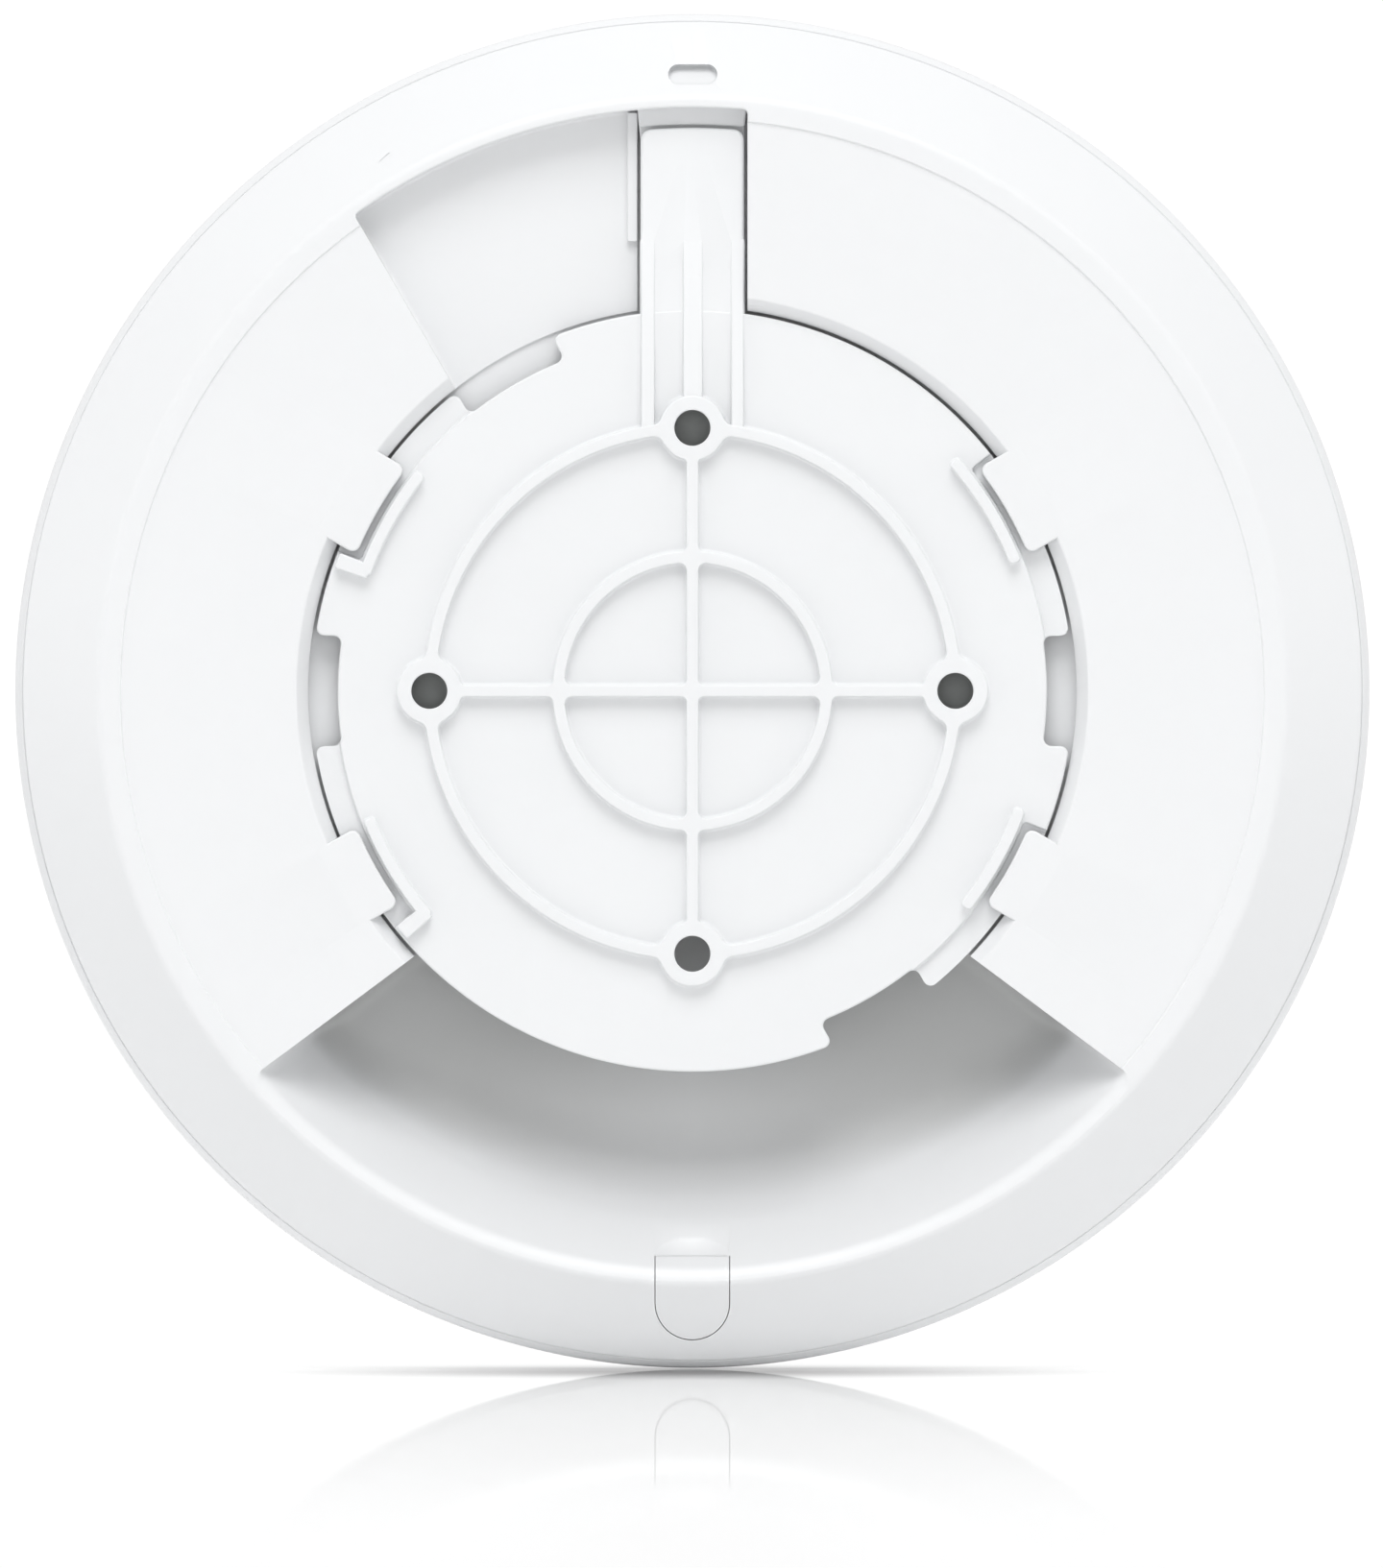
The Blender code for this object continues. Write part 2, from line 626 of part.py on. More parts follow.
def build_rear_shell():
    """Moulded rear case with the bracket opening, latch recess, cable recess and rim."""
    shell = turned("rear_shell", shell_profile())
    build_arm_recess(shell)
    build_cable_recess(shell)
    for number, angle in enumerate(TAB_ANGLES):
        join(shell, prism(f"tab_{number}", [tab_outline(angle)], TAB_BOTTOM, TAB_TOP))

    slot = []
    for side, start in ((1, -90.0), (-1, 90.0)):
        centre = (side * RELEASE_SLOT_HALF, RELEASE_SLOT_Y)
        slot += arc(RELEASE_SLOT_RADIUS, start, start + 180.0, 6, centre)
    cut(shell, on_rim_slope(prism("release_slot", [slot], -RELEASE_SLOT_DEPTH, ABOVE)))

    wall_front = CABLE_WALL_Y - CUT_SPARE
    wall_back = CABLE_WALL_Y + WALL + CUT_SPARE
    window = box(
        "jack_window",
        -SOCKET_HALF - 0.4 * MM,
        SOCKET_HALF + 0.4 * MM,
        wall_front,
        wall_back,
        SOCKET_BOTTOM - 0.2 * MM,
        SOCKET_TOP + 0.4 * MM,
    )
    pinhole = cylinder("reset_pinhole", RESET_X, RESET_Z, 1.1 * MM, wall_front, wall_back, 16, "Y")
    cut(shell, window, pinhole)

    plug = copy_of(shell, "cable_exit_plug")
    keep_common(plug, prism("plug_column", [plug_outline(-TOUCH / 2)], CABLE_FLOOR, ABOVE))
    cut(shell, prism("plug_hole", [plug_outline(TOUCH / 2)], CABLE_FLOOR, ABOVE))
    place(shell, twist_axis, "white_plastic")
    place(plug, plug_axis, "white_plastic")


# ---------------------------------------------------------------- front

def dome_profile(shrink, steps=10):
    """Superellipse quarter from the side of the front cover to its middle."""
    points = []
    for step in range(steps + 1):
        angle = math.pi / 2 * step / steps
        r = (BODY_RADIUS - shrink) * max(0.0, math.cos(angle)) ** DOME_POWER
        z = DOME_START_Z - (BODY_DEPTH + DOME_START_Z - shrink) * math.sin(angle) ** DOME_POWER
        points.append((r if step < steps else 0.0, z))
    return points


def build_front_cover():
    """Domed front with a groove for the light ring and four screw posts inside."""
    lip_inner = SHELL_RADIUS - 0.5 * MM
    outer = [(SHELL_RADIUS + 0.25 * MM, PARTING_Z), (BODY_RADIUS - 0.2 * MM, PARTING_Z - 1.3 * MM)]
    outer += dome_profile(0.0)
    inner = dome_profile(COVER_WALL)[::-1]
    inner += [(lip_inner, DOME_START_Z + 0.4 * MM), (lip_inner, PARTING_Z)]
    cover = turned("front_cover", outer + inner)
    post_top = BOARD_BOTTOM - TOUCH
    post_bottom = -30.4 * MM
    hole_bottom = SCREW_END - TOUCH
    for number, (x, y) in enumerate(CASE_SCREWS):
        join(cover, cylinder(f"screw_post_{number}", x, y, 3.2 * MM, post_bottom, post_top))
    for number, (x, y) in enumerate(CASE_SCREWS):
        hole_top = post_top + CUT_SPARE
        cut(cover, cylinder(f"post_hole_{number}", x, y, SCREW_SHANK + TOUCH, hole_bottom, hole_top, 16))
    outside = -BODY_DEPTH - CUT_SPARE
    groove = [(LIGHT_INNER - TOUCH, outside), (LIGHT_INNER - TOUCH, LIGHT_TOP + TOUCH)]
    groove += [(LIGHT_OUTER + TOUCH, LIGHT_TOP + TOUCH), (LIGHT_OUTER + TOUCH, outside)]
    cut(cover, turned("light_groove", groove))
    place(cover, twist_axis, "white_plastic")


def build_light_ring():
    """Translucent ring set into the front cover, with its light guide behind the cover."""
    place(pipe("light_ring", LIGHT_INNER, LIGHT_OUTER, LIGHT_FACE, LIGHT_TOP), twist_axis, "clear_plastic")
    guide = pipe("light_guide", GUIDE_INNER, GUIDE_OUTER, GUIDE_BOTTOM, GUIDE_TOP, 36)
    place(guide, twist_axis, "clear_plastic")


# ---------------------------------------------------------------- electronics

def build_back_plate():
    """Steel plate with a straight edge above the cable recess."""
    radius = 44.0 * MM
    chord = CABLE_WALL_Y + WALL + 0.6 * MM
    edge = math.degrees(math.asin(-chord / radius))
    outline = arc(radius, -edge, 180.0 + edge, arc_steps(-edge, 180.0 + edge))
    jack_half = JACK_HALF + 0.8 * MM
    jack_back = JACK_BACK_Y + 1.0 * MM
    outline += [(-jack_half, chord), (-jack_half, jack_back), (jack_half, jack_back), (jack_half, chord)]
    plate = prism("back_plate", [outline], PLATE_METAL_BOTTOM, PLATE_METAL_TOP)
    for number, (x, y) in enumerate(CASE_SCREWS):
        low = PLATE_METAL_BOTTOM - CUT_SPARE
        high = PLATE_METAL_TOP + CUT_SPARE
        cut(plate, cylinder(f"plate_hole_{number}", x, y, SCREW_CLEARANCE, low, high, 16))
    place(plate, twist_axis, "steel")


CHIP_HEIGHT = 1.1 * MM
CHIPS = {  # middle, width and length of each chip
    "processor_chip": (0.0, 10.0 * MM, 17.0 * MM, 17.0 * MM),
    "radio_chip_low_band": (-18.5 * MM, 8.0 * MM, 9.0 * MM, 9.0 * MM),
    "radio_chip_high_band": (18.5 * MM, 8.0 * MM, 9.0 * MM, 9.0 * MM),
    "memory_chip": (-14.0 * MM, -3.6 * MM, 10.0 * MM, 7.0 * MM),
    "flash_chip": (14.0 * MM, -3.6 * MM, 7.0 * MM, 5.0 * MM),
}
COOLED_CHIPS = ("processor_chip", "radio_chip_low_band", "radio_chip_high_band")


def build_cooling_and_chips():
    """Chips, their thermal pads and the cast heat spreader that carries heat to the back plate."""
    base_low = -11.0 * MM
    base_high = PLATE_METAL_BOTTOM - TOUCH
    spreader = centred_box("heat_spreader", 0.0, 10.0 * MM, 52.0 * MM, 24.0 * MM, base_low, base_high)
    chip_low = BOARD_TOP + TOUCH
    chip_high = chip_low + CHIP_HEIGHT
    pad_low = chip_high + TOUCH
    pad_high = pad_low + 0.6 * MM
    foot_low = pad_high + TOUCH
    foot_high = base_low + 0.5 * MM
    inset = 1.0 * MM
    for name, (x, y, width, length) in CHIPS.items():
        place(centred_box(name, x, y, width, length, chip_low, chip_high), twist_axis, "chip_black")
        if name in COOLED_CHIPS:
            pad_name = name.replace("chip", "thermal_pad")
            pad = centred_box(pad_name, x, y, width - inset, length - inset, pad_low, pad_high)
            place(pad, twist_axis, "pad_grey")
            foot_name = f"{name}_foot"
            join(spreader, centred_box(foot_name, x, y, width - inset, length - inset, foot_low, foot_high))
    place(spreader, twist_axis, "aluminium")


def build_board():
    board = prism("main_board", [circle(BOARD_RADIUS)], BOARD_BOTTOM, BOARD_TOP)
    for number, (x, y) in enumerate(CASE_SCREWS):
        low = BOARD_BOTTOM - CUT_SPARE
        high = BOARD_TOP + CUT_SPARE
        cut(board, cylinder(f"board_hole_{number}", x, y, SCREW_CLEARANCE, low, high, 16))
    place(board, twist_axis, "circuit_board")


def build_screws():
    """Long case screws through plate, spacers and board into the cover's posts."""
    head_low = PLATE_METAL_TOP + TOUCH
    head_high = head_low + 1.1 * MM
    section = [
        (0.0, head_high),
        (SCREW_HEAD_RADIUS - 0.7 * MM, head_high),
        (SCREW_HEAD_RADIUS, head_low + 0.5 * MM),
        (SCREW_HEAD_RADIUS, head_low),
        (SCREW_SHANK, head_low),
        (SCREW_SHANK, SCREW_END + 0.7 * MM),
        (0.5 * MM, SCREW_END),
        (0.0, SCREW_END),
    ]
    spacer_high = PLATE_METAL_BOTTOM - TOUCH
    spacer_low = BOARD_TOP + TOUCH
    for number, (x, y) in enumerate(CASE_SCREWS, start=1):
        screw = turned(f"case_screw_{number}", section, 16, closed=False)
        for turn in (0.0, 90.0):
            name = f"drive_{number}_{turn:.0f}"
            blade = centred_box(name, 0.0, 0.0, 2.6 * MM, 0.6 * MM, head_low + 0.4 * MM, 0.0)
            blade.data.transform(Matrix.Rotation(math.radians(turn), 4, "Z"))
            cut(screw, blade)
        screw.data.transform(Matrix.Translation((x, y, 0.0)))
        place(screw, twist_axis, "tinned_steel")
        spacer = pipe(f"spacer_{number}", SCREW_CLEARANCE, 2.9 * MM, spacer_low, spacer_high, 6)
        spacer.data.transform(Matrix.Translation((x, y, 0.0)))
        place(spacer, twist_axis, "brass")


def build_jack():
    """Network jack: plastic housing, metal shield around it and a comb of contacts inside."""
    low = BOARD_TOP + TOUCH
    shield_wall = 0.3 * MM
    housing_half = JACK_HALF - shield_wall - TOUCH
    housing_top = JACK_TOP - shield_wall - TOUCH
    housing_mouth = JACK_MOUTH_Y + 0.5 * MM
    housing_back = JACK_BACK_Y - shield_wall - TOUCH
    housing = box(
        "ethernet_jack_housing",
        -housing_half,
        housing_half,
        housing_mouth,
        housing_back,
        low,
        housing_top,
    )
    socket_end = housing_mouth + 12.5 * MM
    mouth = housing_mouth - CUT_SPARE
    main_low = SOCKET_BOTTOM + 1.4 * MM
    cut(housing, box("socket", -SOCKET_HALF, SOCKET_HALF, mouth, socket_end, main_low, SOCKET_TOP))
    slot_half = 2.2 * MM
    slot_end = socket_end - 3.0 * MM
    slot_high = SOCKET_BOTTOM + 2.0 * MM
    cut(housing, box("latch_slot", -slot_half, slot_half, mouth, slot_end, SOCKET_BOTTOM, slot_high))
    place(housing, twist_axis, "black_plastic")

    shield_mouth = JACK_MOUTH_Y + 0.35 * MM
    shield = box("ethernet_jack_shield", -JACK_HALF, JACK_HALF, shield_mouth, JACK_BACK_Y, low, JACK_TOP)
    shield_inside = box(
        "shield_inside",
        -(JACK_HALF - shield_wall),
        JACK_HALF - shield_wall,
        shield_mouth - CUT_SPARE,
        JACK_BACK_Y - shield_wall,
        low - CUT_SPARE,
        JACK_TOP - shield_wall,
    )
    cut(shield, shield_inside)
    place(shield, twist_axis, "tinned_steel")

    bar_low = SOCKET_TOP - 0.9 * MM
    bar_high = SOCKET_TOP - TOUCH
    bar_half = 4.6 * MM
    bar_start = socket_end - 1.6 * MM
    contacts = box("jack_contacts", -bar_half, bar_half, bar_start, socket_end - TOUCH, bar_low, bar_high)
    pitch = 1.02 * MM
    finger_half = 0.2 * MM
    finger_low = bar_low + 0.2 * MM
    finger_start = socket_end - 9.0 * MM
    finger_end = bar_start + 0.4 * MM
    for number in range(CONTACTS):
        x = (number - (CONTACTS - 1) / 2) * pitch
        finger = box(
            f"contact_{number}",
            x - finger_half,
            x + finger_half,
            finger_start,
            finger_end,
            finger_low,
            finger_low + 2 * finger_half,
        )
        join(contacts, finger)
    place(contacts, twist_axis, "gold")


def build_reset():
    """Tact switch on the board with the button that a pin presses through the recess wall."""
    half = 3.0 * MM
    body_front = -20.4 * MM
    body_low = BOARD_TOP + TOUCH
    switch = box(
        "reset_switch_body",
        RESET_X - half,
        RESET_X + half,
        body_front,
        body_front + 5.0 * MM,
        body_low,
        RESET_Z + half,
    )
    bore_end = body_front + 3.0 * MM
    bore = cylinder("plunger_bore", RESET_X, RESET_Z, 1.5 * MM, body_front - CUT_SPARE, bore_end, 16, "Y")
    cut(switch, bore)
    place(switch, twist_axis, "black_plastic")
    button_front = CABLE_WALL_Y + WALL + 0.25 * MM
    button_end = body_front + 2.0 * MM
    button = cylinder("reset_button", RESET_X, RESET_Z, 1.15 * MM, button_front, button_end, 16, "Y")
    place(button, reset_axis, "black_plastic")


def build_power_parts():
    """Parts that take power from the network cable."""
    low = BOARD_TOP + TOUCH
    high = low + 5.6 * MM
    magnetics = centred_box("lan_transformer", -14.5 * MM, -14.6 * MM, 9.0 * MM, 12.0 * MM, low, high)
    place(magnetics, twist_axis, "chip_black")
    core_x = 24.0 * MM
    core_y = -15.5 * MM
    core_width = 11.2 * MM
    core_length = 10.2 * MM
    core = centred_box("poe_transformer", core_x, core_y, core_width, core_length, low, low + 8.2 * MM)
    side_cut = 2.2 * MM
    for number, side in enumerate((-1, 1)):
        y = core_y + side * core_length / 2
        size = (core_width + CUT_SPARE, 2 * side_cut, low + 1.6 * MM, low + 6.6 * MM)
        cut(core, centred_box(f"bobbin_{number}", core_x, y, *size))
    place(core, twist_axis, "ferrite")
    coil = centred_box("power_inductor", 25.8 * MM, -4.6 * MM, 6.8 * MM, 6.8 * MM, low, low + 4.0 * MM)
    bevel = coil.modifiers.new("edges", "BEVEL")
    bevel.width = 0.8 * MM
    bevel.segments = 1
    coil.data = tidy(evaluated_mesh(coil))
    coil.modifiers.clear()
    place(coil, twist_axis, "ferrite")
    can_radius = 3.5 * MM
    can_top = low + 8.2 * MM
    can_edge = 0.3 * MM
    can = [
        (0.0, can_top),
        (can_radius - can_edge, can_top),
        (can_radius, can_top - can_edge),
        (can_radius, low),
        (0.0, low),
    ]
    places = ((-24.6 * MM, -17.4 * MM), (-24.6 * MM, -9.2 * MM), (-32.6 * MM, -14.6 * MM))
    for number, (x, y) in enumerate(places, start=1):
        capacitor = turned(f"power_capacitor_{number}", can, SMALL_SEGMENTS, closed=False)
        capacitor.data.transform(Matrix.Translation((x, y, 0.0)))
        place(capacitor, twist_axis, "aluminium")


def build_front_side_parts():
    """Shield cans, status lights and antennas on the front side of the board."""
    high = BOARD_BOTTOM - TOUCH
    width = 11.0 * MM
    length = 18.0 * MM
    low = high - 2.4 * MM
    wall = 0.3 * MM
    for number, x in enumerate((-6.2 * MM, 6.2 * MM), start=1):
        can = centred_box(f"shield_can_{number}", x, 0.0, width, length, low, high)
        inside = (width - 2 * wall, length - 2 * wall, low + wall, high + CUT_SPARE)
        cut(can, centred_box(f"can_inside_{number}", x, 0.0, *inside))
        place(can, twist_axis, "tinned_steel")
    blade_low = high - 6.8 * MM
    blade_half = 12.0 * MM
    blade_radius = 50.0 * MM
    foot = 3.0 * MM
    sheet = 0.5 * MM
    side_view = [
        (0.0, high),
        (foot, high),
        (foot, high - sheet),
        (sheet, high - sheet),
        (sheet, blade_low),
        (0.0, blade_low),
    ]
    for number in range(4):
        x, y = polar((LIGHT_INNER + LIGHT_OUTER) / 2, 45.0 + 90.0 * number)
        led = centred_box(f"status_led_{number + 1}", x, y, 2.0 * MM, 1.6 * MM, high - 0.9 * MM, high)
        place(led, twist_axis, "led_white")
        antenna = prism(f"antenna_{number + 1}", [side_view], -blade_half, blade_half, turn=ALONG_X)
        antenna.data.transform(Matrix.Translation((0.0, blade_radius, 0.0)))
        antenna.data.transform(Matrix.Rotation(math.radians(45.0 + 90.0 * number), 4, "Z"))
        place(antenna, twist_axis, "tinned_steel")


build_bracket()
build_latch_arm()
build_rear_shell()
build_front_cover()
build_light_ring()
build_back_plate()
build_cooling_and_chips()
build_board()
build_screws()
build_jack()
build_reset()
build_power_parts()
build_front_side_parts()
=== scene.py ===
import json
import math

import bmesh
import bpy
from mathutils import Matrix, Vector


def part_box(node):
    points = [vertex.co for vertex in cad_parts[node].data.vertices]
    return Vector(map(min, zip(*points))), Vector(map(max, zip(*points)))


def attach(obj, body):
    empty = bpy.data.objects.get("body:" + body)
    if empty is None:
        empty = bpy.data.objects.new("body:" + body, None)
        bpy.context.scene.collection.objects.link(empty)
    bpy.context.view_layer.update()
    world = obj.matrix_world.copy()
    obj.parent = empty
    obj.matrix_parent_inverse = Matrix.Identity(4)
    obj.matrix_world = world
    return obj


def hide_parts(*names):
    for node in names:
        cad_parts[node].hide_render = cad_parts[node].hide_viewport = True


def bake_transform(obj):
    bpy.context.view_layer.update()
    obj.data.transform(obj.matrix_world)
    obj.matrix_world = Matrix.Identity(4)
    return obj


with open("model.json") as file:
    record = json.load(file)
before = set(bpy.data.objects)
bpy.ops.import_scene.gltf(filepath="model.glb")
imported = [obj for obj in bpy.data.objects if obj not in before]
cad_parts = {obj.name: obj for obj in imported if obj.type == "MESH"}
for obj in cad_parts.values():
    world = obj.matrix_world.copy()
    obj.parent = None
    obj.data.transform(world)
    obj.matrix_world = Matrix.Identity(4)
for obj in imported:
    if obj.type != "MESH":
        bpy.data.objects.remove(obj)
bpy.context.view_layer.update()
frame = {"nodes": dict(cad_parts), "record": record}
nodes = frame["nodes"]

# Shapes are made in millimetres in the flat mounting frame: x right, y up, z out of the mounting
# plane.  dress() scales them to metres and turns them upright.
MM = 0.001
UPRIGHT = Matrix.Rotation(math.radians(90.0), 4, "X") @ Matrix.Scale(MM, 4)
ROUND_STEP = 1.0  # degrees between the points of a large arc
SMALL_STEP = 6.0  # and of a small one
FILLET = (0.0, 6.0, 22.0, 38.0, 52.0, 68.0, 84.0, 90.0)  # degrees along a quarter round
SMOOTH_ANGLE = 32.0  # edges sharper than this many degrees stay sharp
EMBED = 0.4  # how far a raised shape reaches into the face it stands on
QUARTERS = (0.0, 90.0, 180.0, 270.0)

# Case
BODY_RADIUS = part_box("front_cover")[1].x / MM
FRONT_Z = -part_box("front_cover")[1].y / MM
RIM_RADIUS = 70.0
SHELL_RADIUS = 79.0
PARTING_Z = -9.75
PLATEAU_Z = -0.25
PLATEAU_RADIUS = 67.3
OPENING_RADIUS = 45.3
OPENING_TOP_RADIUS = 46.7
LEDGE_RADIUS = 38.0
LEDGE_Z = -5.0
WALL = 1.8
DECK_INSIDE = PLATEAU_Z - 0.9
ABOVE = 3.0  # height at which cutters end, clear of the mounting side

# Bracket plate
PLATE_RADIUS = 44.9
PLATE_TOP = -1.5
PLATE_BOTTOM = -3.8
RIB_HALF = 0.7
RING_RADIUS = 31.0
HUB_RADIUS = 15.8
BOSS_RADIUS = 3.84
BOSS_FILLET = 1.2
HOLE_RADIUS = 2.12
TWIST = 30.0
TABS = (30.0, 150.0, 210.0, 330.0)
LANE_FLOOR = -2.25
LANE_OVERRUN = 8.5
LANE_RIB_TOP = -0.1
LANE_RIBS = ((21.6, 41.4), (141.4, 160.4), (201.5, 220.6), (-38.5, -19.8))  # degrees
STOP_LEGS = ((158.6, 161.0), (218.5, 221.0))  # degrees
NOTCH_HALF = 6.5
NOTCH_INNER = 41.8
NOTCH_CORNER = 0.9

# Latch arm and its recess
ARM_HALF = 6.1
ARM_ROOT = 44.6
ARM_TIP = 66.4
ARM_TOP = -2.0
ARM_BOTTOM = -3.6
ARM_RIBS = ((-6.0, -4.5, 30.6), (-1.05, 1.15, 31.0), (4.6, 6.0, 30.6))  # left, right, lower end
ARM_RIB_END = 53.4
ARM_RIB_SINKS = 47.0
ARM_RIB_SINK_LENGTH = 6.4
RECESS_FLOOR = -4.6
RECESS_RADIUS = 68.8
UNDER_ARM = -3.75
TIP_SPAN = (84.7, 95.4)  # degrees

# Bayonet tabs
TAB_INNER = 42.7
TAB_HALF = 5.9
TAB_SHORT_HALF = 4.5
TAB_UNDERSIDE = -1.9

# Cable recess: its floor ends on a circle about a point above the object's centre
CABLE_FLOOR = -15.0
CABLE_TOP_Y = -24.0
CABLE_HALF = 23.0
CABLE_SIDE = math.radians(36.7)
CABLE_SPREAD = 45.0
FOOT_CENTRE = 34.0
FOOT_START = 50.0
RAMP_SLOPE = 55.0
CORNER_STEEPER = 3.0
RAMP_END = 69.9
LIP = 2.5
THUMB_RADIUS = 66.75
THUMB_HALF = 4.1
THUMB_DEPTH = 0.9
PLUG_HALF = 4.4
PLUG_TOP = -66.65
PLUG_BOTTOM = -76.6
PLUG_GAP = 0.05


# ------------------------------------------------------------------ outlines

def arc(radius, start, end, centre=(0.0, 0.0), step=ROUND_STEP):
    count = max(2, math.ceil(abs(end - start) / step))
    points = []
    for index in range(count + 1):
        angle = math.radians(start + (end - start) * index / count)
        points.append((centre[0] + radius * math.cos(angle), centre[1] + radius * math.sin(angle)))
    return points


def polar(radius, angle, across=0.0):
    """Point at a radius in one direction, moved sideways by across."""
    a = math.radians(angle)
    c = math.cos(a)
    s = math.sin(a)
    return (radius * c - across * s, radius * s + across * c)


def edge_angle(half, radius):
    """Half the angle that a shape of this half width takes up at a radius."""
    return math.degrees(math.asin(half / radius))


def cornered(points, first, last=None):
    """Line of points whose two ends are marked as corners to be filleted."""
    last = first if last is None else last
    return [(*points[0], first)] + points[1:-1] + [(*points[-1], last)]


def area_of(points):
    return sum(a[0] * b[1] - b[0] * a[1] for a, b in zip(points, points[1:] + points[:1])) / 2


def rounded(points):
    """Closed outline in which each point given as (x, y, radius) becomes a fillet."""
    count = len(points)
    flat = [Vector(p[:2]) for p in points]
    fillets = {}
    dropped = set()
    for index, point in enumerate(points):
        if len(point) < 3 or point[2] <= 0.0:
            continue
        here = flat[index]
        before = (here - flat[index - 1]).normalized()
        after = (flat[(index + 1) % count] - here).normalized()
        turn = before.angle_signed(after)
        reach = point[2] * math.tan(abs(turn) / 2)
        side = 1.0 if turn < 0 else -1.0
        start = here - before * reach
        centre = start + Vector((-before.y, before.x)) * point[2] * side
        spoke = start - centre
        curve = []
        for angle in FILLET:
            bend = -turn * angle / 90.0
            c = math.cos(bend)
            s = math.sin(bend)
            x = centre.x + spoke.x * c - spoke.y * s
            y = centre.y + spoke.x * s + spoke.y * c
            curve.append((x, y))
        fillets[index] = curve
        for way in (-1, 1):
            step = 1
            while step < count // 2:
                other = (index + way * step) % count
                if len(points[other]) > 2 or (flat[other] - here).length > reach:
                    break
                dropped.add(other)
                step += 1
    result = []
    for index in range(count):
        if index in fillets:
            result += fillets[index]
        elif index not in dropped:
            result.append(tuple(flat[index]))
    return result


def grown(points, by):
    """Closed counter-clockwise outline moved outwards by a distance."""
    if by == 0.0:
        return points
    result = []
    count = len(points)
    for index in range(count):
        a = Vector(points[index - 1])
        b = Vector(points[index])
        c = Vector(points[(index + 1) % count])
        first = (b - a).normalized()
        second = (c - b).normalized()
        n1 = Vector((first.y, -first.x))
        n2 = Vector((second.y, -second.x))
        mitre = (n1 + n2) / max(0.3, 1.0 + n1.dot(n2))
        result.append(tuple(b + mitre * by))
    return result


def quarter(radius):
    """(run, rise) along a quarter round."""
    turns = [math.radians(a) for a in FILLET]
    return [(radius * (1 - math.cos(a)), radius * math.sin(a)) for a in turns]


def boss_top(z, radius):
    """Levels (height, growth) that round the top edge of a raised shape."""
    return [(z - radius + rise, -run) for run, rise in quarter(radius)]


def boss_foot(z, radius):
    """Levels that flare the foot of a raised shape into the face it stands on."""
    return [(z + radius - rise, run) for run, rise in reversed(quarter(radius))]


def pocket_floor(z, radius):
    """Levels of a cutter whose floor edge is rounded."""
    return [(z + radius - rise, -run) for run, rise in reversed(quarter(radius))]


def pocket_lip(z, radius):
    """Levels of a cutter that rounds the rim of its pocket."""
    return [(z - radius + rise, run) for run, rise in quarter(radius)]


def pocket(floor, floor_radius, top, lip_radius, above=ABOVE):
    """Levels of a cutter for a pocket with rounded floor edge and rim."""
    levels = pocket_floor(floor, floor_radius) + pocket_lip(top, lip_radius)
    return levels + [(top + above, lip_radius)]


# ------------------------------------------------------------------ solids

def new_object(name, bm):
    mesh = bpy.data.meshes.new(name)
    bm.to_mesh(mesh)
    bm.free()
    obj = bpy.data.objects.new(name, mesh)
    bpy.context.scene.collection.objects.link(obj)
    return obj


def loft(name, outline, levels):
    """Closed solid through one outline repeated at several heights with its own growth at each."""
    outline = [tuple(p[:2]) for p in outline]
    if area_of(outline) < 0:
        outline = outline[::-1]
    bm = bmesh.new()
    rings = []
    for z, grow in levels:
        rings.append([bm.verts.new((x, y, z)) for x, y in grown(outline, grow)])
    count = len(outline)
    for low, high in zip(rings, rings[1:]):
        for index in range(count):
            other = (index + 1) % count
            bm.faces.new((low[index], low[other], high[other], high[index]))
    caps = [bm.faces.new(rings[-1]), bm.faces.new(rings[0][::-1])]
    bm.normal_update()
    bmesh.ops.triangulate(bm, faces=caps)
    bmesh.ops.dissolve_degenerate(bm, edges=bm.edges, dist=1e-6)
    return new_object(name, bm)


def turned(name, profile, sides=360):
    """Solid turned about z from a closed profile of (radius, height, fillet) points."""
    profile = rounded(profile)
    if area_of(profile) < 0:
        profile = profile[::-1]
    bm = bmesh.new()
    rings = []
    for r, z in profile:
        if r < 1e-6:
            rings.append([bm.verts.new((0.0, 0.0, z))] * sides)
            continue
        ring = []
        for index in range(sides):
            angle = 2.0 * math.pi * index / sides
            ring.append(bm.verts.new((r * math.cos(angle), r * math.sin(angle), z)))
        rings.append(ring)
    for low, high in zip(rings, rings[1:] + rings[:1]):
        for index in range(sides):
            other = (index + 1) % sides
            corners = []
            for vert in (low[index], low[other], high[other], high[index]):
                if vert not in corners:
                    corners.append(vert)
            if len(corners) > 2:
                bm.faces.new(corners)
    bmesh.ops.recalc_face_normals(bm, faces=bm.faces)
    return new_object(name, bm)


def combine(target, other, operation):
    """Boolean of two solids, kept as the target's mesh; the other solid is used up."""
    modifier = target.modifiers.new("combine", "BOOLEAN")
    modifier.operation = operation
    modifier.object = other
    modifier.solver = "MANIFOLD"
    graph = bpy.context.evaluated_depsgraph_get()
    mesh = bpy.data.meshes.new_from_object(target.evaluated_get(graph))
    target.modifiers.clear()
    if not mesh.polygons:
        raise RuntimeError(f"{operation} of {other.name} left nothing of {target.name}")
    target.data = mesh
    bpy.data.objects.remove(other, do_unlink=True)
    return target


def cut(target, *others):
    for other in others:
        combine(target, other, "DIFFERENCE")
    return target


def join(target, *others):
    for other in others:
        combine(target, other, "UNION")
    return target


def keep_common(target, other):
    return combine(target, other, "INTERSECT")


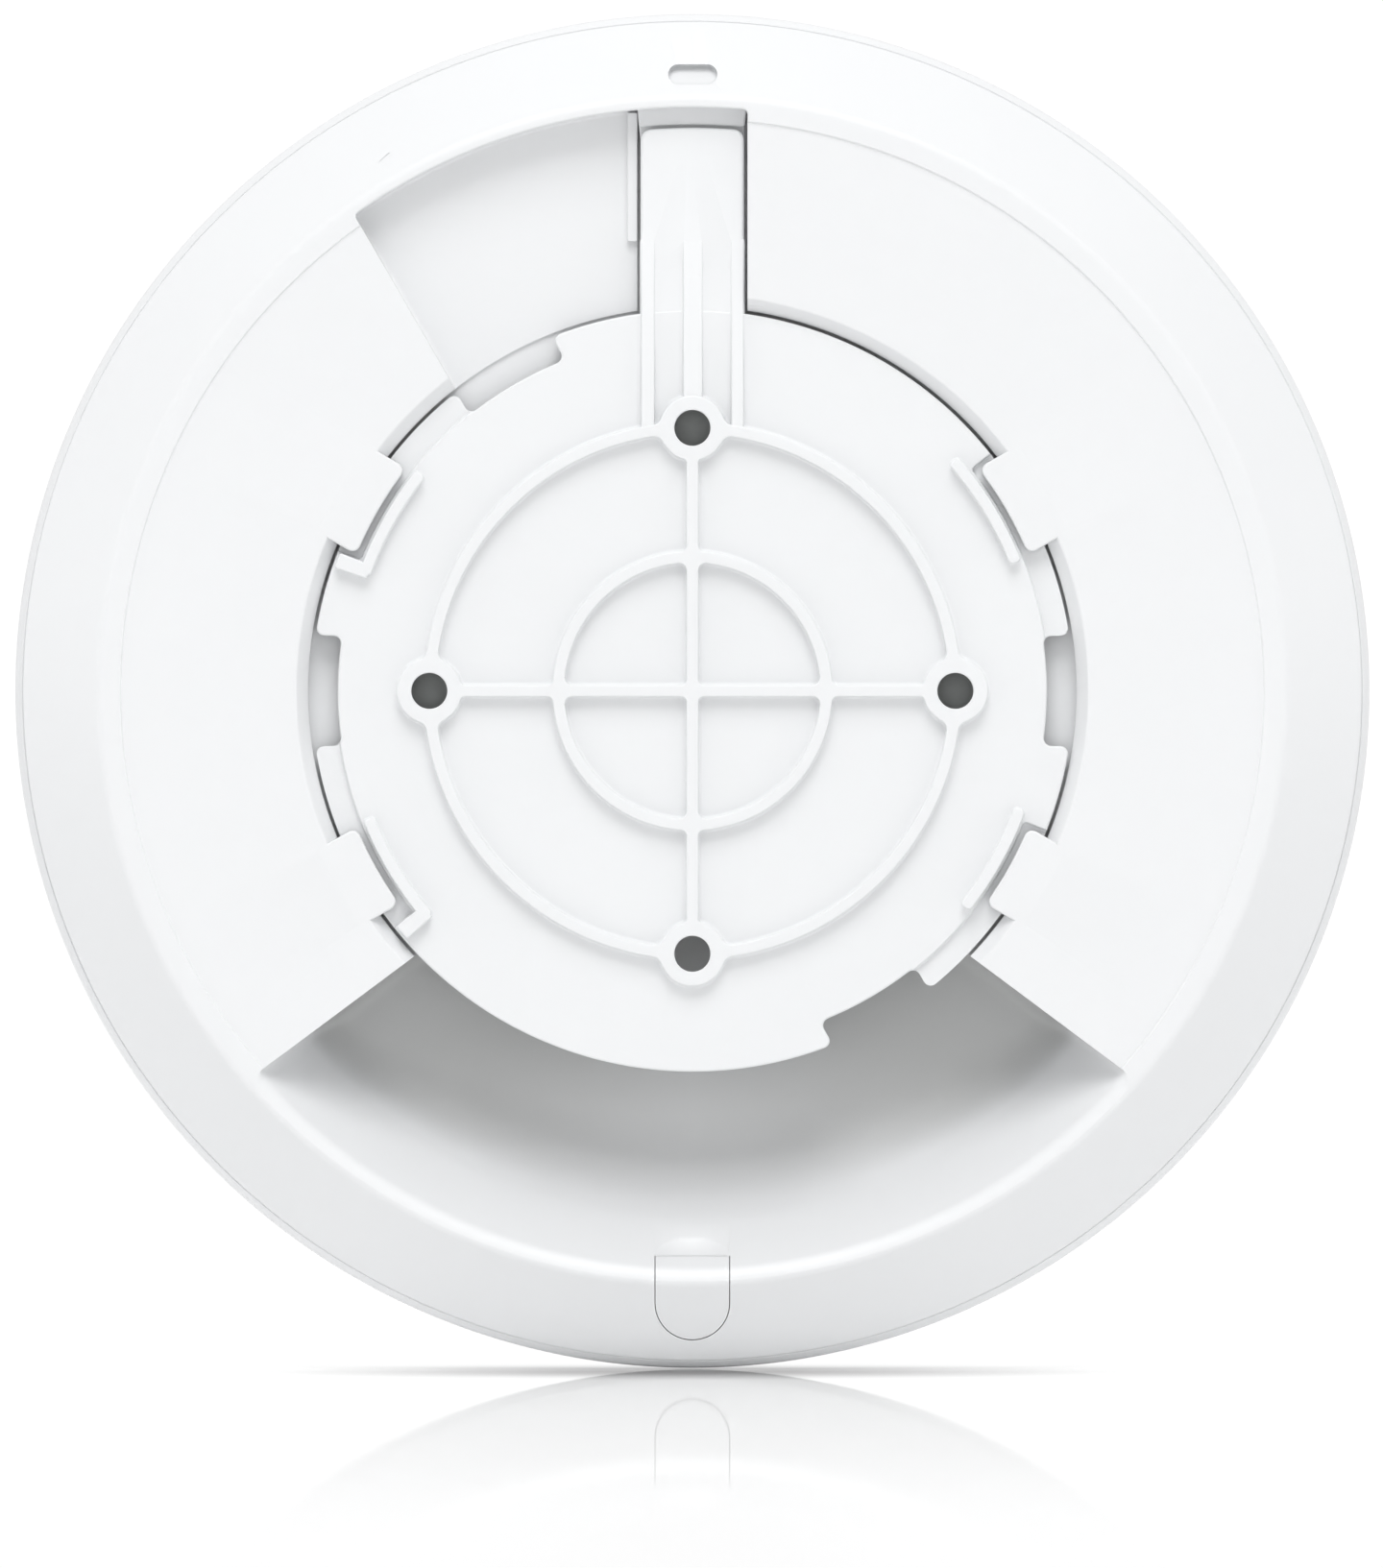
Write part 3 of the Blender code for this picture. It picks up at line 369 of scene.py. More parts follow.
def copy_of(obj, name):
    twin = bpy.data.objects.new(name, obj.data.copy())
    bpy.context.scene.collection.objects.link(twin)
    return twin


def box(name, x_low, x_high, y_low, y_high, z_low, z_high, round_edges=0.0):
    """Block, with its upright and top edges rounded if wanted."""
    outline = [(x_low, y_low), (x_high, y_low), (x_high, y_high), (x_low, y_high)]
    if round_edges:
        outline = rounded([(x, y, round_edges) for x, y in outline])
        return loft(name, outline, [(z_low, 0.0)] + boss_top(z_high, round_edges * 0.8))
    return loft(name, outline, [(z_low, 0.0), (z_high, 0.0)])


def along_y(obj):
    """Turn a solid that was drawn along z so that it lies along y."""
    obj.data.transform(Matrix(((1, 0, 0, 0), (0, 0, 1, 0), (0, 1, 0, 0), (0, 0, 0, 1))))
    obj.data.flip_normals()
    return obj


def on_slope(obj, angle):
    """Shear a shape drawn at height 0 so that it sits in the 45 degree slope of the rim."""
    toward = Vector(polar(1.0, angle))
    for vert in obj.data.vertices:
        run = vert.co.x * toward.x + vert.co.y * toward.y
        vert.co.z -= run - RIM_RADIUS
    return obj


# ------------------------------------------------------------------ bracket

def plate_outline():
    """Round plate with four notches, each with rounded corners."""
    inner = edge_angle(NOTCH_HALF, NOTCH_INNER)
    outer = edge_angle(NOTCH_HALF, PLATE_RADIUS)
    notches = sorted((tab - TWIST) % 360.0 for tab in TABS)
    points = []
    for index, notch in enumerate(notches):
        following = notches[(index + 1) % 4] + (360.0 if index == 3 else 0.0)
        floor = arc(NOTCH_INNER, notch - inner, notch + inner)
        edge = arc(PLATE_RADIUS, notch + outer, following - outer)
        points += cornered(floor, NOTCH_CORNER) + cornered(edge, NOTCH_CORNER)
    return rounded(points)


def boss_point(radius):
    """Angle at which a boss circle meets a circle about the centre."""
    cosine = (radius ** 2 + RING_RADIUS ** 2 - BOSS_RADIUS ** 2) / (2 * radius * RING_RADIUS)
    return math.degrees(math.acos(cosine))


def boss_arc(boss, first, last, outside):
    """Part of a boss circle from one point to another, on its inner or outer side."""
    centre = polar(RING_RADIUS, boss)
    start = math.degrees(math.atan2(first[1] - centre[1], first[0] - centre[0]))
    end = math.degrees(math.atan2(last[1] - centre[1], last[0] - centre[0]))
    if outside:
        while end < start:
            end += 360.0
    else:
        while end > start:
            end -= 360.0
    return arc(BOSS_RADIUS, start, end, centre, SMALL_STEP)


def rib_disc_outline():
    """Outer edge of the ring rib with the four bosses bulging out of it."""
    radius = RING_RADIUS + RIB_HALF
    meet = boss_point(radius)
    points = []
    for boss in QUARTERS:
        curve = boss_arc(boss, polar(radius, boss - meet), polar(radius, boss + meet), True)
        points += cornered(curve, BOSS_FILLET)
        points += arc(radius, boss + meet, boss + 90.0 - meet)[1:-1]
    return rounded(points)


def hub_pocket(start):
    """Quarter of the space inside the hub ring, between two ribs."""
    inner = HUB_RADIUS - RIB_HALF
    edge = edge_angle(RIB_HALF, inner)
    rim = arc(inner, start + edge, start + 90.0 - edge)
    corner = polar(RIB_HALF, start, RIB_HALF)
    return rounded([(*corner, 0.7)] + cornered(rim, 0.9))


def ring_pocket(start):
    """Quarter of the space between hub and outer ring, between two ribs and round two bosses."""
    low = HUB_RADIUS + RIB_HALF
    high = RING_RADIUS - RIB_HALF
    low_edge = edge_angle(RIB_HALF, low)
    meet = boss_point(high)
    reach = RING_RADIUS - math.sqrt(BOSS_RADIUS ** 2 - RIB_HALF ** 2)
    end = start + 90.0
    first = boss_arc(start, polar(reach, start, RIB_HALF), polar(high, start + meet), False)
    last = boss_arc(end, polar(high, end - meet), polar(reach, end, -RIB_HALF), False)
    rim = arc(high, start + meet, end - meet)
    hub = arc(low, end - low_edge, start + low_edge)
    points = cornered(first, 0.5, BOSS_FILLET) + rim[1:-1]
    points += cornered(last, BOSS_FILLET, 0.5) + cornered(hub, 0.7)
    return rounded(points)


def sector(inner, outer, start, end, corner, outer_corner=None):
    """Piece of a ring between two directions."""
    outer_corner = corner if outer_corner is None else outer_corner
    far = arc(outer, start, end)
    near = arc(inner, end, start)
    return rounded(cornered(far, outer_corner) + cornered(near, corner))


def raised(name, outline, top, foot, edge):
    """Shape that stands on the plate with a flared foot and a rounded top edge."""
    levels = [(PLATE_TOP - EMBED, foot)] + boss_foot(PLATE_TOP, foot) + boss_top(top, edge)
    return loft(name, outline, levels)


def build_plate():
    levels = [(PLATE_BOTTOM, 0.0), (PLATE_TOP - 0.3, 0.0)] + boss_top(PLATE_TOP, 0.25)[1:]
    plate = loft("bracket", plate_outline(), levels)
    for number, tab in enumerate(TABS):
        lane = sector(42.0, 47.5, tab - TWIST, tab + LANE_OVERRUN, 0.5, 0.0)
        cut(plate, loft(f"lane_{number}", lane, pocket(LANE_FLOOR, 0.2, PLATE_TOP, 0.2, 0.6)))
    return plate


def build_arm():
    root = ARM_ROOT - 3.0
    corner_angle = edge_angle(ARM_HALF, ARM_TIP)
    tip = arc(ARM_TIP, 90.0 - corner_angle, 90.0 + corner_angle)
    outline = rounded([(-ARM_HALF, root), (ARM_HALF, root)] + cornered(tip, 1.3))
    levels = [(ARM_BOTTOM, -0.15), (ARM_BOTTOM + 0.2, 0.0), (ARM_TOP - 0.5, 0.0)]
    return loft("arm", outline, levels + boss_top(ARM_TOP, 0.45)[1:])


def build_arm_root():
    """Shallow ramp from the plate's face down to the arm's."""
    top = PLATE_TOP - 0.004
    root = box("arm_root", -5.8, 5.8, 43.9, 50.0, ARM_BOTTOM + 0.4, top)
    for vert in root.data.vertices:
        if vert.co.z > ARM_TOP and vert.co.y > ARM_ROOT:
            vert.co.z = ARM_TOP - 0.02
    return root


def build_arm_rib(left, right, low):
    """Rib that sinks into the arm towards its upper end."""
    outline = rounded([
        (left, low, 0.3), (right, low, 0.3),
        (right, ARM_RIB_END, 0.5), (left, ARM_RIB_END, 0.5),
    ])
    levels = [(-2.2, 0.18), (-1.6, 0.14), (-0.35, 0.0)] + boss_top(-0.05, 0.2)[1:]
    rib = loft("arm_rib", outline, levels)
    sunk = -2.1
    for vert in rib.data.vertices:
        fall = max(0.0, vert.co.y - ARM_RIB_SINKS) / ARM_RIB_SINK_LENGTH
        if vert.co.z > sunk:
            vert.co.z -= (vert.co.z - sunk) * min(1.0, fall)
    return rib


def build_bracket():
    """Plate and latch arm in one moulding; the real arm bends at its root, but this solid does not.
    """
    plate = join(build_plate(), build_arm(), build_arm_root())

    disc = raised("rib_disc", rib_disc_outline(), 0.0, 0.35, 0.22)
    for start in QUARTERS:
        for name, outline in (("hub_pocket", hub_pocket), ("ring_pocket", ring_pocket)):
            cut(disc, loft(name, outline(start), pocket(PLATE_TOP, 0.35, 0.0, 0.2)))
    join(plate, disc)

    for left, right, low in ARM_RIBS:
        join(plate, build_arm_rib(left, right, low))
    for start, end in LANE_RIBS:
        join(plate, raised("lane_rib", sector(40.3, 41.7, start, end, 0.5), LANE_RIB_TOP, 0.2, 0.2))
    for start, end in STOP_LEGS:
        levels = [(PLATE_TOP - EMBED, 0.1), (PLATE_TOP + 0.1, 0.0)] + boss_top(LANE_RIB_TOP, 0.2)
        join(plate, loft("stop_leg", sector(40.6, 44.6, start, end, 0.3), levels))

    levels = [(PLATE_BOTTOM - 2.2, 0.0)] + pocket_lip(0.0, 0.15) + [(1.0, 0.15)]
    for boss in QUARTERS:
        hole = arc(HOLE_RADIUS, 0.0, 360.0 - SMALL_STEP, polar(RING_RADIUS, boss), SMALL_STEP)
        cut(plate, loft("screw_hole", hole, levels))
    return plate


# ------------------------------------------------------------------ rear shell

def ramp_shape(angle):
    """Slope, start and foot radius of the cable ramp in one direction; corners are steeper."""
    off = min(1.0, abs(angle - 270.0) / CABLE_SPREAD)
    slope = math.radians(RAMP_SLOPE + CORNER_STEEPER * off * off)
    half = -FOOT_CENTRE * math.sin(math.radians(angle))
    reach = half * half + (FOOT_START + FOOT_CENTRE) ** 2 - FOOT_CENTRE ** 2
    start = -half + math.sqrt(reach)
    run = RAMP_END - LIP * math.sin(slope) - start
    height = -CABLE_FLOOR - LIP * (1.0 - math.cos(slope))
    root = (run - height / math.tan(slope)) / math.tan(slope / 2.0)
    return slope, start, root


def ramp_profile(angle, drop=0.0):
    """(radius, height) from the recess floor up to the rim, lowered along its normal by drop."""
    slope, start, root = ramp_shape(angle)
    points = [(start, CABLE_FLOOR - drop)]
    for step in range(1, 17):
        a = slope * step / 16
        r = start + root * math.sin(a)
        z = CABLE_FLOOR + root * (1.0 - math.cos(a))
        points.append((r + drop * math.sin(a), z - drop * math.cos(a)))
    for step in range(9):
        a = slope * (8 - step) / 8
        r = RAMP_END - LIP * math.sin(a)
        z = -LIP * (1.0 - math.cos(a))
        points.append((r + drop * math.sin(a), z - drop * math.cos(a)))
    return points


def side_angle(radius, grow):
    """Direction in which a circle about the centre meets the recess's right-hand side wall."""
    along = Vector((math.cos(CABLE_SIDE), -math.sin(CABLE_SIDE)))
    outward = Vector((-along.y, along.x))
    point = Vector((CABLE_HALF, CABLE_TOP_Y)) + outward * grow
    dot = point.dot(along)
    length = -dot + math.sqrt(max(0.0, dot * dot - point.length_squared + radius * radius))
    place = point + along * length
    return math.degrees(math.atan2(place.y, place.x))


def cable_solid(name, drop, grow, top, foot_radius):
    """Space of the cable recess, or with a drop the tub around it, as one closed solid."""
    columns = 72
    inner_start = 27.0
    floors = 6
    bm = bmesh.new()
    lower = []
    upper = []
    for column in range(columns + 1):
        share = column / columns
        share = 0.5 - 0.5 * math.cos(math.pi * share) if grow == 0.0 else share
        profile = ramp_profile(270.0 + (share * 2.0 - 1.0) * CABLE_SPREAD, drop)
        start, floor_z = profile[0]
        span = start - inner_start
        inside = [(inner_start + span * i / floors, floor_z) for i in range(floors)]
        low_line = []
        high_line = []
        for radius, z in inside + profile:
            limit = side_angle(radius, grow)
            angle = 270.0 + (share * 2.0 - 1.0) * (90.0 + limit)
            gap = math.radians((90.0 + limit) * (1.0 - abs(share * 2.0 - 1.0))) * radius
            if foot_radius and gap < foot_radius:
                reach = foot_radius ** 2 - (foot_radius - gap) ** 2
                z = min(z + foot_radius - math.sqrt(max(0.0, reach)), 0.0)
            x, y = polar(radius, angle)
            low_line.append(bm.verts.new((x, y, z)))
            high_line.append(bm.verts.new((x, y, top)))
        lower.append(low_line)
        upper.append(high_line)
    rows = len(lower[0])
    for grid in (lower, upper):
        for a, b in zip(grid, grid[1:]):
            for row in range(rows - 1):
                bm.faces.new((a[row], a[row + 1], b[row + 1], b[row]))
    for line in (0, columns):
        low = lower[line]
        high = upper[line]
        for row in range(rows - 1):
            bm.faces.new((low[row], low[row + 1], high[row + 1], high[row]))
    for row in (0, rows - 1):
        for column in range(columns):
            other = column + 1
            low = (lower[column][row], lower[other][row])
            bm.faces.new(low + (upper[other][row], upper[column][row]))
    bmesh.ops.recalc_face_normals(bm, faces=bm.faces)
    return new_object(name, bm)


def arm_recess_outline(grow=0.0, inner=44.0):
    """Sector that the arm sweeps between locked and free, with straight sides."""
    outer = RECESS_RADIUS + grow
    right = 6.5 + grow
    left = 6.46 + grow
    start = 90.0
    end = 90.0 + TWIST
    rim = arc(outer, start - edge_angle(right, outer), end + edge_angle(left, outer))
    inside = arc(inner, end + edge_angle(left, inner), start - edge_angle(right, inner))
    return rounded(cornered(rim, 0.6) + inside)


def shell_profile():
    """Section of the rear case: out along its mounting side, then back along its inside."""
    cone_inner = RIM_RADIUS - WALL * math.sqrt(2.0)
    deck = PLATEAU_Z - WALL
    return [
        (LEDGE_RADIUS, LEDGE_Z, 0.3),
        (OPENING_RADIUS, LEDGE_Z),
        (OPENING_RADIUS, -2.2, 0.3),
        (OPENING_TOP_RADIUS, PLATEAU_Z, 0.4),
        (PLATEAU_RADIUS, PLATEAU_Z, 0.1),
        (PLATEAU_RADIUS + 0.16, 0.0, 0.12),
        (RIM_RADIUS, 0.0, 1.4),
        (SHELL_RADIUS, RIM_RADIUS - SHELL_RADIUS, 0.35),
        (SHELL_RADIUS, PARTING_Z, 0.12),
        (SHELL_RADIUS - 0.8, PARTING_Z),
        (SHELL_RADIUS - 0.8, -12.0),
        (SHELL_RADIUS - 2.2, -12.0),
        (SHELL_RADIUS - 2.2, cone_inner - SHELL_RADIUS + 2.2),
        (cone_inner - deck, deck),
        (OPENING_RADIUS + WALL, deck),
        (OPENING_RADIUS + WALL, LEDGE_Z - WALL),
        (LEDGE_RADIUS, LEDGE_Z - WALL),
    ]


def tab_outline(angle):
    """Bayonet tab; the two lower ones are cut shorter on the side of the cable recess."""
    before = TAB_SHORT_HALF if angle == 330.0 else TAB_HALF
    after = TAB_SHORT_HALF if angle == 210.0 else TAB_HALF
    start = angle - edge_angle(before, TAB_INNER)
    edge = arc(TAB_INNER, start, angle + edge_angle(after, TAB_INNER))
    root = [polar(48.0, angle, after), polar(48.0, angle, -before)]
    return rounded(cornered(edge, 1.0) + root)


def plug_outline(grow):
    half = PLUG_HALF + grow
    centre = (0.0, PLUG_BOTTOM + PLUG_HALF)
    top = PLUG_TOP + 0.25 * grow
    return [(half, top), (-half, top)] + arc(half, 180.0, 360.0, centre, SMALL_STEP)


def add_latch_details(shell):
    """Detent beside the locked arm, ledge and step beyond its tip, and a groove along it."""
    under = RECESS_FLOOR - EMBED
    join(shell, box("detent", -7.65, -6.48, 53.0, 68.2, under, UNDER_ARM, 0.15))
    ledge = sector(66.75, 69.6, *TIP_SPAN, 0.4, 0.0)
    join(shell, loft("tip_ledge", ledge, [(under, 0.0)] + boss_top(-2.9, 0.25)))
    step = sector(65.2, 69.6, *TIP_SPAN, 0.4, 0.0)
    join(shell, loft("tip_step", step, [(under, 0.0)] + boss_top(UNDER_ARM, 0.15)))
    low = RECESS_FLOOR - 1.2
    cut(shell, box("arm_groove", -6.5, -6.15, 44.0, 66.9, low, RECESS_FLOOR + 0.2))


def cut_slope_details(shell):
    """Release slot and alignment mark in the slope of the rim."""
    slot = arc(1.2, -90.0, 90.0, (1.75, 72.7), 10.0) + arc(1.2, 90.0, 270.0, (-1.65, 72.7), 10.0)
    cut(shell, on_slope(loft("release_slot", slot, pocket(-1.5, 0.3, 0.0, 0.1)), 90.0))
    corners = ((72.9, -0.9), (72.5, 0.9), (71.3, -0.2))
    mark = rounded([(*polar(radius, 120.0, across), 0.1) for radius, across in corners])
    cut(shell, on_slope(loft("align_mark", mark, [(-0.12, 0.0), (0.5, 0.0)]), 120.0))


def cut_wall_openings(shell):
    """Window of the network socket and hole for the reset pin in the recess's upper wall."""
    low = CABLE_TOP_Y - 4.0
    high = CABLE_TOP_Y + 4.0
    cut(shell, box("jack_window", -6.3, 6.3, low, high, -14.6, -5.8))
    pin = arc(1.1, 0.0, 345.0, (13.2, -11.5), 15.0)
    cut(shell, along_y(loft("pinhole", pin, [(low, 0.0), (high, 0.0)])))


def cut_thumb_scoop(shell):
    """Shallow round hollow in the ramp above the knock-out."""
    slope = ramp_shape(270.0)[0]
    lip_start = RAMP_END - LIP * math.sin(slope)
    lip_z = -LIP * (1.0 - math.cos(slope))
    radius = (THUMB_HALF ** 2 + THUMB_DEPTH ** 2) / (2.0 * THUMB_DEPTH)
    out = radius - THUMB_DEPTH
    turns = [math.radians(a) for a in range(-87, 90, 3)]
    ball = [(radius * math.cos(a), radius * math.sin(a)) for a in turns]
    scoop = turned("thumb_scoop", [(0.0, -radius)] + ball + [(0.0, radius)], 180)
    y = -THUMB_RADIUS + math.sin(slope) * out
    z = lip_z - (lip_start - THUMB_RADIUS) * math.tan(slope) + math.cos(slope) * out
    scoop.data.transform(Matrix.Translation((0.0, y, z)))
    keep_common(scoop, box("above_plug", -6.0, 6.0, -THUMB_RADIUS, -60.0, -12.0, 6.0))
    cut(shell, scoop)


def split_knockout(shell):
    """Take the knock-out out of the rim, with a fine gap round it."""
    through = [(-14.0, 0.0), (ABOVE, 0.0)]
    plug = copy_of(shell, "cable_knockout")
    keep_common(plug, loft("plug_column", plug_outline(-PLUG_GAP), through))
    cut(shell, loft("plug_hole", plug_outline(PLUG_GAP), through))
    return plug


def build_rear_shell():
    shell = turned("rear_case", shell_profile())
    levels = [(RECESS_FLOOR - WALL, 0.0), (DECK_INSIDE, 0.0)]
    join(shell, loft("arm_tub", arm_recess_outline(WALL, 46.0), levels))
    tub = cable_solid("cable_tub", WALL, WALL, DECK_INSIDE, 0.0)
    head = arc(OPENING_RADIUS + 0.9, 0.0, 359.0)
    cut(tub, loft("tub_head", head, [(LEDGE_Z - 0.1, 0.0), (ABOVE, 0.0)]))
    join(shell, tub)
    cut(shell, loft("arm_recess", arm_recess_outline(), pocket(RECESS_FLOOR, 0.45, 0.0, 0.3)))
    cut(shell, cable_solid("cable_bowl", 0.0, 0.0, ABOVE, 1.6))
    levels = [(TAB_UNDERSIDE, 0.0)] + boss_top(PLATEAU_Z + 0.004, 0.25)
    for tab in TABS:
        join(shell, loft("tab", tab_outline(tab), levels))
    add_latch_details(shell)
    cut_slope_details(shell)
    cut_wall_openings(shell)
    cut_thumb_scoop(shell)
    return shell, split_knockout(shell)


# ------------------------------------------------------------------ front

DOME_EDGE_Z = -13.0
DOME_POWER = 0.8
COVER_WALL = 2.2
POSTS = ((33.0, -6.0), (20.0, 28.0), (-20.0, 28.0), (-33.0, -6.0))
GROOVE = (15.05, 16.95, -31.9)  # inner radius, outer radius, floor height
STATUS_RING = (15.3, 16.7, -32.15, -32.8)  # inner radius, outer radius, back and face height


def dome(shrink, steps=48):
    """(radius, height) from the edge of the front to its middle."""
    points = []
    for step in range(steps + 1):
        angle = math.pi / 2 * step / steps
        r = (BODY_RADIUS - shrink) * max(0.0, math.cos(angle)) ** DOME_POWER
        rise = (DOME_EDGE_Z - FRONT_Z - shrink) * math.sin(angle) ** DOME_POWER
        points.append((r if step < steps else 0.0, DOME_EDGE_Z - rise))
    return points


def build_front():
    edge_z = -9.9
    inside = SHELL_RADIUS - 0.5
    outer = [(SHELL_RADIUS + 0.2, edge_z, 0.1), (BODY_RADIUS - 0.2, -11.2, 0.5)] + dome(0.0)
    inner = dome(COVER_WALL)[::-1] + [(inside, -12.6), (inside, edge_z)]
    cover = turned("front_dome", outer + inner)
    for post in POSTS:
        levels = [(-30.4, 0.6), (-29.6, 0.0), (-20.5, 0.0)]
        join(cover, loft("post", arc(3.2, 0.0, 350.0, post, 10.0), levels))
        bore = arc(1.6, 0.0, 350.0, post, 10.0)
        cut(cover, loft("post_bore", bore, [(-28.6, 0.0), (-19.0, 0.0)]))
    near, far, floor_z = GROOVE
    out_z = -36.0
    groove = [(near, out_z), (near, floor_z), (far, floor_z), (far, out_z)]
    cut(cover, turned("ring_groove", groove))
    near, far, back, face = STATUS_RING
    section = [(near, back, 0.1), (far, back, 0.1), (far, face, 0.25), (near, face, 0.25)]
    return cover, turned("status_ring", section)


# ------------------------------------------------------------------ materials

CASE_WHITE = (0.72, 0.728, 0.737)
BRACKET_WHITE = (0.72, 0.729, 0.738)
# Painted shade: these darken the case's colour deep in the cable recess, most towards its side
# walls, where shade falls.
RECESS_PAINTED_SHADE = (0.62, 0.62, 0.61)
PAINTED_SHADE_DEPTHS = (10.5 * MM, 14.8 * MM)  # between which the painted shade sets in
SIDE_DIRECTION = (0.598, 0.802)  # from the recess's middle towards its side walls
PAINTED_SHADE_SIDE_REACH = (-45.5 * MM, -15.5 * MM)  # in that direction, between weaker and full painted shade
PAINTED_SHADE_MIDDLE_SHARE = 0.45  # strength of the weaker painted shade


def node_material(name):
    material = bpy.data.materials.new(name)
    material.use_nodes = True
    tree = material.node_tree
    shader = tree.nodes["Principled BSDF"]
    coords = tree.nodes.new("ShaderNodeTexCoord")
    return material, tree, shader, coords.outputs["Object"]


def noise(tree, coords, scale, detail=3.0, stretch=None):
    if stretch is not None:
        mapping = tree.nodes.new("ShaderNodeMapping")
        mapping.inputs["Scale"].default_value = stretch
        tree.links.new(coords, mapping.inputs["Vector"])
        coords = mapping.outputs["Vector"]
    texture = tree.nodes.new("ShaderNodeTexNoise")
    texture.inputs["Scale"].default_value = scale
    texture.inputs["Detail"].default_value = detail
    tree.links.new(coords, texture.inputs["Vector"])
    return texture.outputs["Fac"]


def ramp(tree, factor, low, high, low_at=0.3, high_at=0.7):
    node = tree.nodes.new("ShaderNodeValToRGB")
    node.color_ramp.elements[0].position = low_at
    node.color_ramp.elements[0].color = (*low, 1.0)
    node.color_ramp.elements[1].position = high_at
    node.color_ramp.elements[1].color = (*high, 1.0)
    tree.links.new(factor, node.inputs["Fac"])
    return node.outputs["Color"]


def spread(tree, factor, low, high):
    """Factor of 0 to 1 taken to the range from low to high."""
    node = tree.nodes.new("ShaderNodeMapRange")
    node.inputs["To Min"].default_value = low
    node.inputs["To Max"].default_value = high
    tree.links.new(factor, node.inputs["Value"])
    return node.outputs["Result"]


def smooth_range(tree, value, start, end, low, high):
    node = tree.nodes.new("ShaderNodeMapRange")
    node.interpolation_type = "SMOOTHSTEP"
    node.inputs["From Min"].default_value = start
    node.inputs["From Max"].default_value = end
    node.inputs["To Min"].default_value = low
    node.inputs["To Max"].default_value = high
    tree.links.new(value, node.inputs["Value"])
    return node.outputs["Result"]


def math_node(tree, operation, first, second=None):
    """Result of a sum on one value, or on two of which the second may be a plain number."""
    node = tree.nodes.new("ShaderNodeMath")
    node.operation = operation
    tree.links.new(first, node.inputs[0])
    if isinstance(second, float):
        node.inputs[1].default_value = second
    elif second is not None:
        tree.links.new(second, node.inputs[1])
    return node.outputs["Value"]


def bump(tree, shader, height, strength, distance):
    node = tree.nodes.new("ShaderNodeBump")
    node.inputs["Strength"].default_value = strength
    node.inputs["Distance"].default_value = distance
    tree.links.new(height, node.inputs["Height"])
    tree.links.new(node.outputs["Normal"], shader.inputs["Normal"])


def grained(
    name, colour, vary, roughness, metallic=0.0, grain=1800.0, depth=0.01, blotch=45.0,
    stretch=None, **sockets
):
    """Material with slow colour variation, uneven gloss and a fine surface grain."""
    material, tree, shader, coords = node_material(name)
    slow = noise(tree, coords, blotch, 4.0)
    fine = noise(tree, coords, grain, 4.0, stretch)
    low = tuple(max(0.0, c * (1.0 - vary)) for c in colour)
    high = tuple(min(1.0, c * (1.0 + vary)) for c in colour)
    tree.links.new(ramp(tree, slow, low, high), shader.inputs["Base Color"])
    uneven = spread(tree, fine, roughness - 0.06, roughness + 0.06)
    tree.links.new(uneven, shader.inputs["Roughness"])
    shader.inputs["Metallic"].default_value = metallic
    for socket, value in sockets.items():
        shader.inputs[socket.replace("_", " ")].default_value = value
    bump(tree, shader, fine, 0.35, depth * MM)
    return material


def white_with_painted_recess_shade():
    """Case plastic with painted shade deep inside the cable recess, strongest at its sides."""
    material = grained("white_with_painted_recess_shade", CASE_WHITE, 0.004, 0.42, grain=2600.0, depth=0.012)
    tree = material.node_tree
    shader = tree.nodes["Principled BSDF"]
    coords = tree.nodes.new("ShaderNodeTexCoord").outputs["Object"]
    split = tree.nodes.new("ShaderNodeSeparateXYZ")
    tree.links.new(coords, split.inputs["Vector"])
    depth = smooth_range(tree, split.outputs["Y"], *PAINTED_SHADE_DEPTHS, 0.0, 1.0)
    across = math_node(tree, "ABSOLUTE", split.outputs["X"])
    across = math_node(tree, "MULTIPLY", across, SIDE_DIRECTION[0])
    down = math_node(tree, "MULTIPLY", split.outputs["Z"], SIDE_DIRECTION[1])
    toward_side = math_node(tree, "ADD", across, down)
    corner = smooth_range(tree, toward_side, *PAINTED_SHADE_SIDE_REACH, PAINTED_SHADE_MIDDLE_SHARE, 1.0)
    painted_shade_strength = math_node(tree, "MULTIPLY", depth, corner)
    # painted shade: the base colour is multiplied by a darker colour by depth in the recess and
    # towards its side walls
    painted_shade_mix = tree.nodes.new("ShaderNodeMix")
    painted_shade_mix.data_type = "RGBA"
    painted_shade_mix.blend_type = "MULTIPLY"
    tree.links.new(shader.inputs["Base Color"].links[0].from_socket, painted_shade_mix.inputs["A"])
    tree.links.new(painted_shade_strength, painted_shade_mix.inputs["Factor"])
    painted_shade_mix.inputs["B"].default_value = (*RECESS_PAINTED_SHADE, 1.0)
    tree.links.new(painted_shade_mix.outputs["Result"], shader.inputs["Base Color"])
    return material


def board_material():
    """Solder mask with paler traces under it."""
    material, tree, shader, coords = node_material("solder_mask")
    trace = tree.nodes.new("ShaderNodeTexBrick")
    trace.inputs["Scale"].default_value = 420.0
    trace.inputs["Color1"].default_value = (0.018, 0.10, 0.05, 1.0)
    trace.inputs["Color2"].default_value = (0.03, 0.16, 0.08, 1.0)
    trace.inputs["Mortar"].default_value = (0.06, 0.24, 0.12, 1.0)
    trace.inputs["Mortar Size"].default_value = 0.035
    tree.links.new(coords, trace.inputs["Vector"])
    tree.links.new(trace.outputs["Color"], shader.inputs["Base Color"])
    fine = noise(tree, coords, 900.0)
    tree.links.new(spread(tree, fine, 0.25, 0.4), shader.inputs["Roughness"])
    bump(tree, shader, trace.outputs["Fac"], 0.4, 0.03 * MM)
    return material


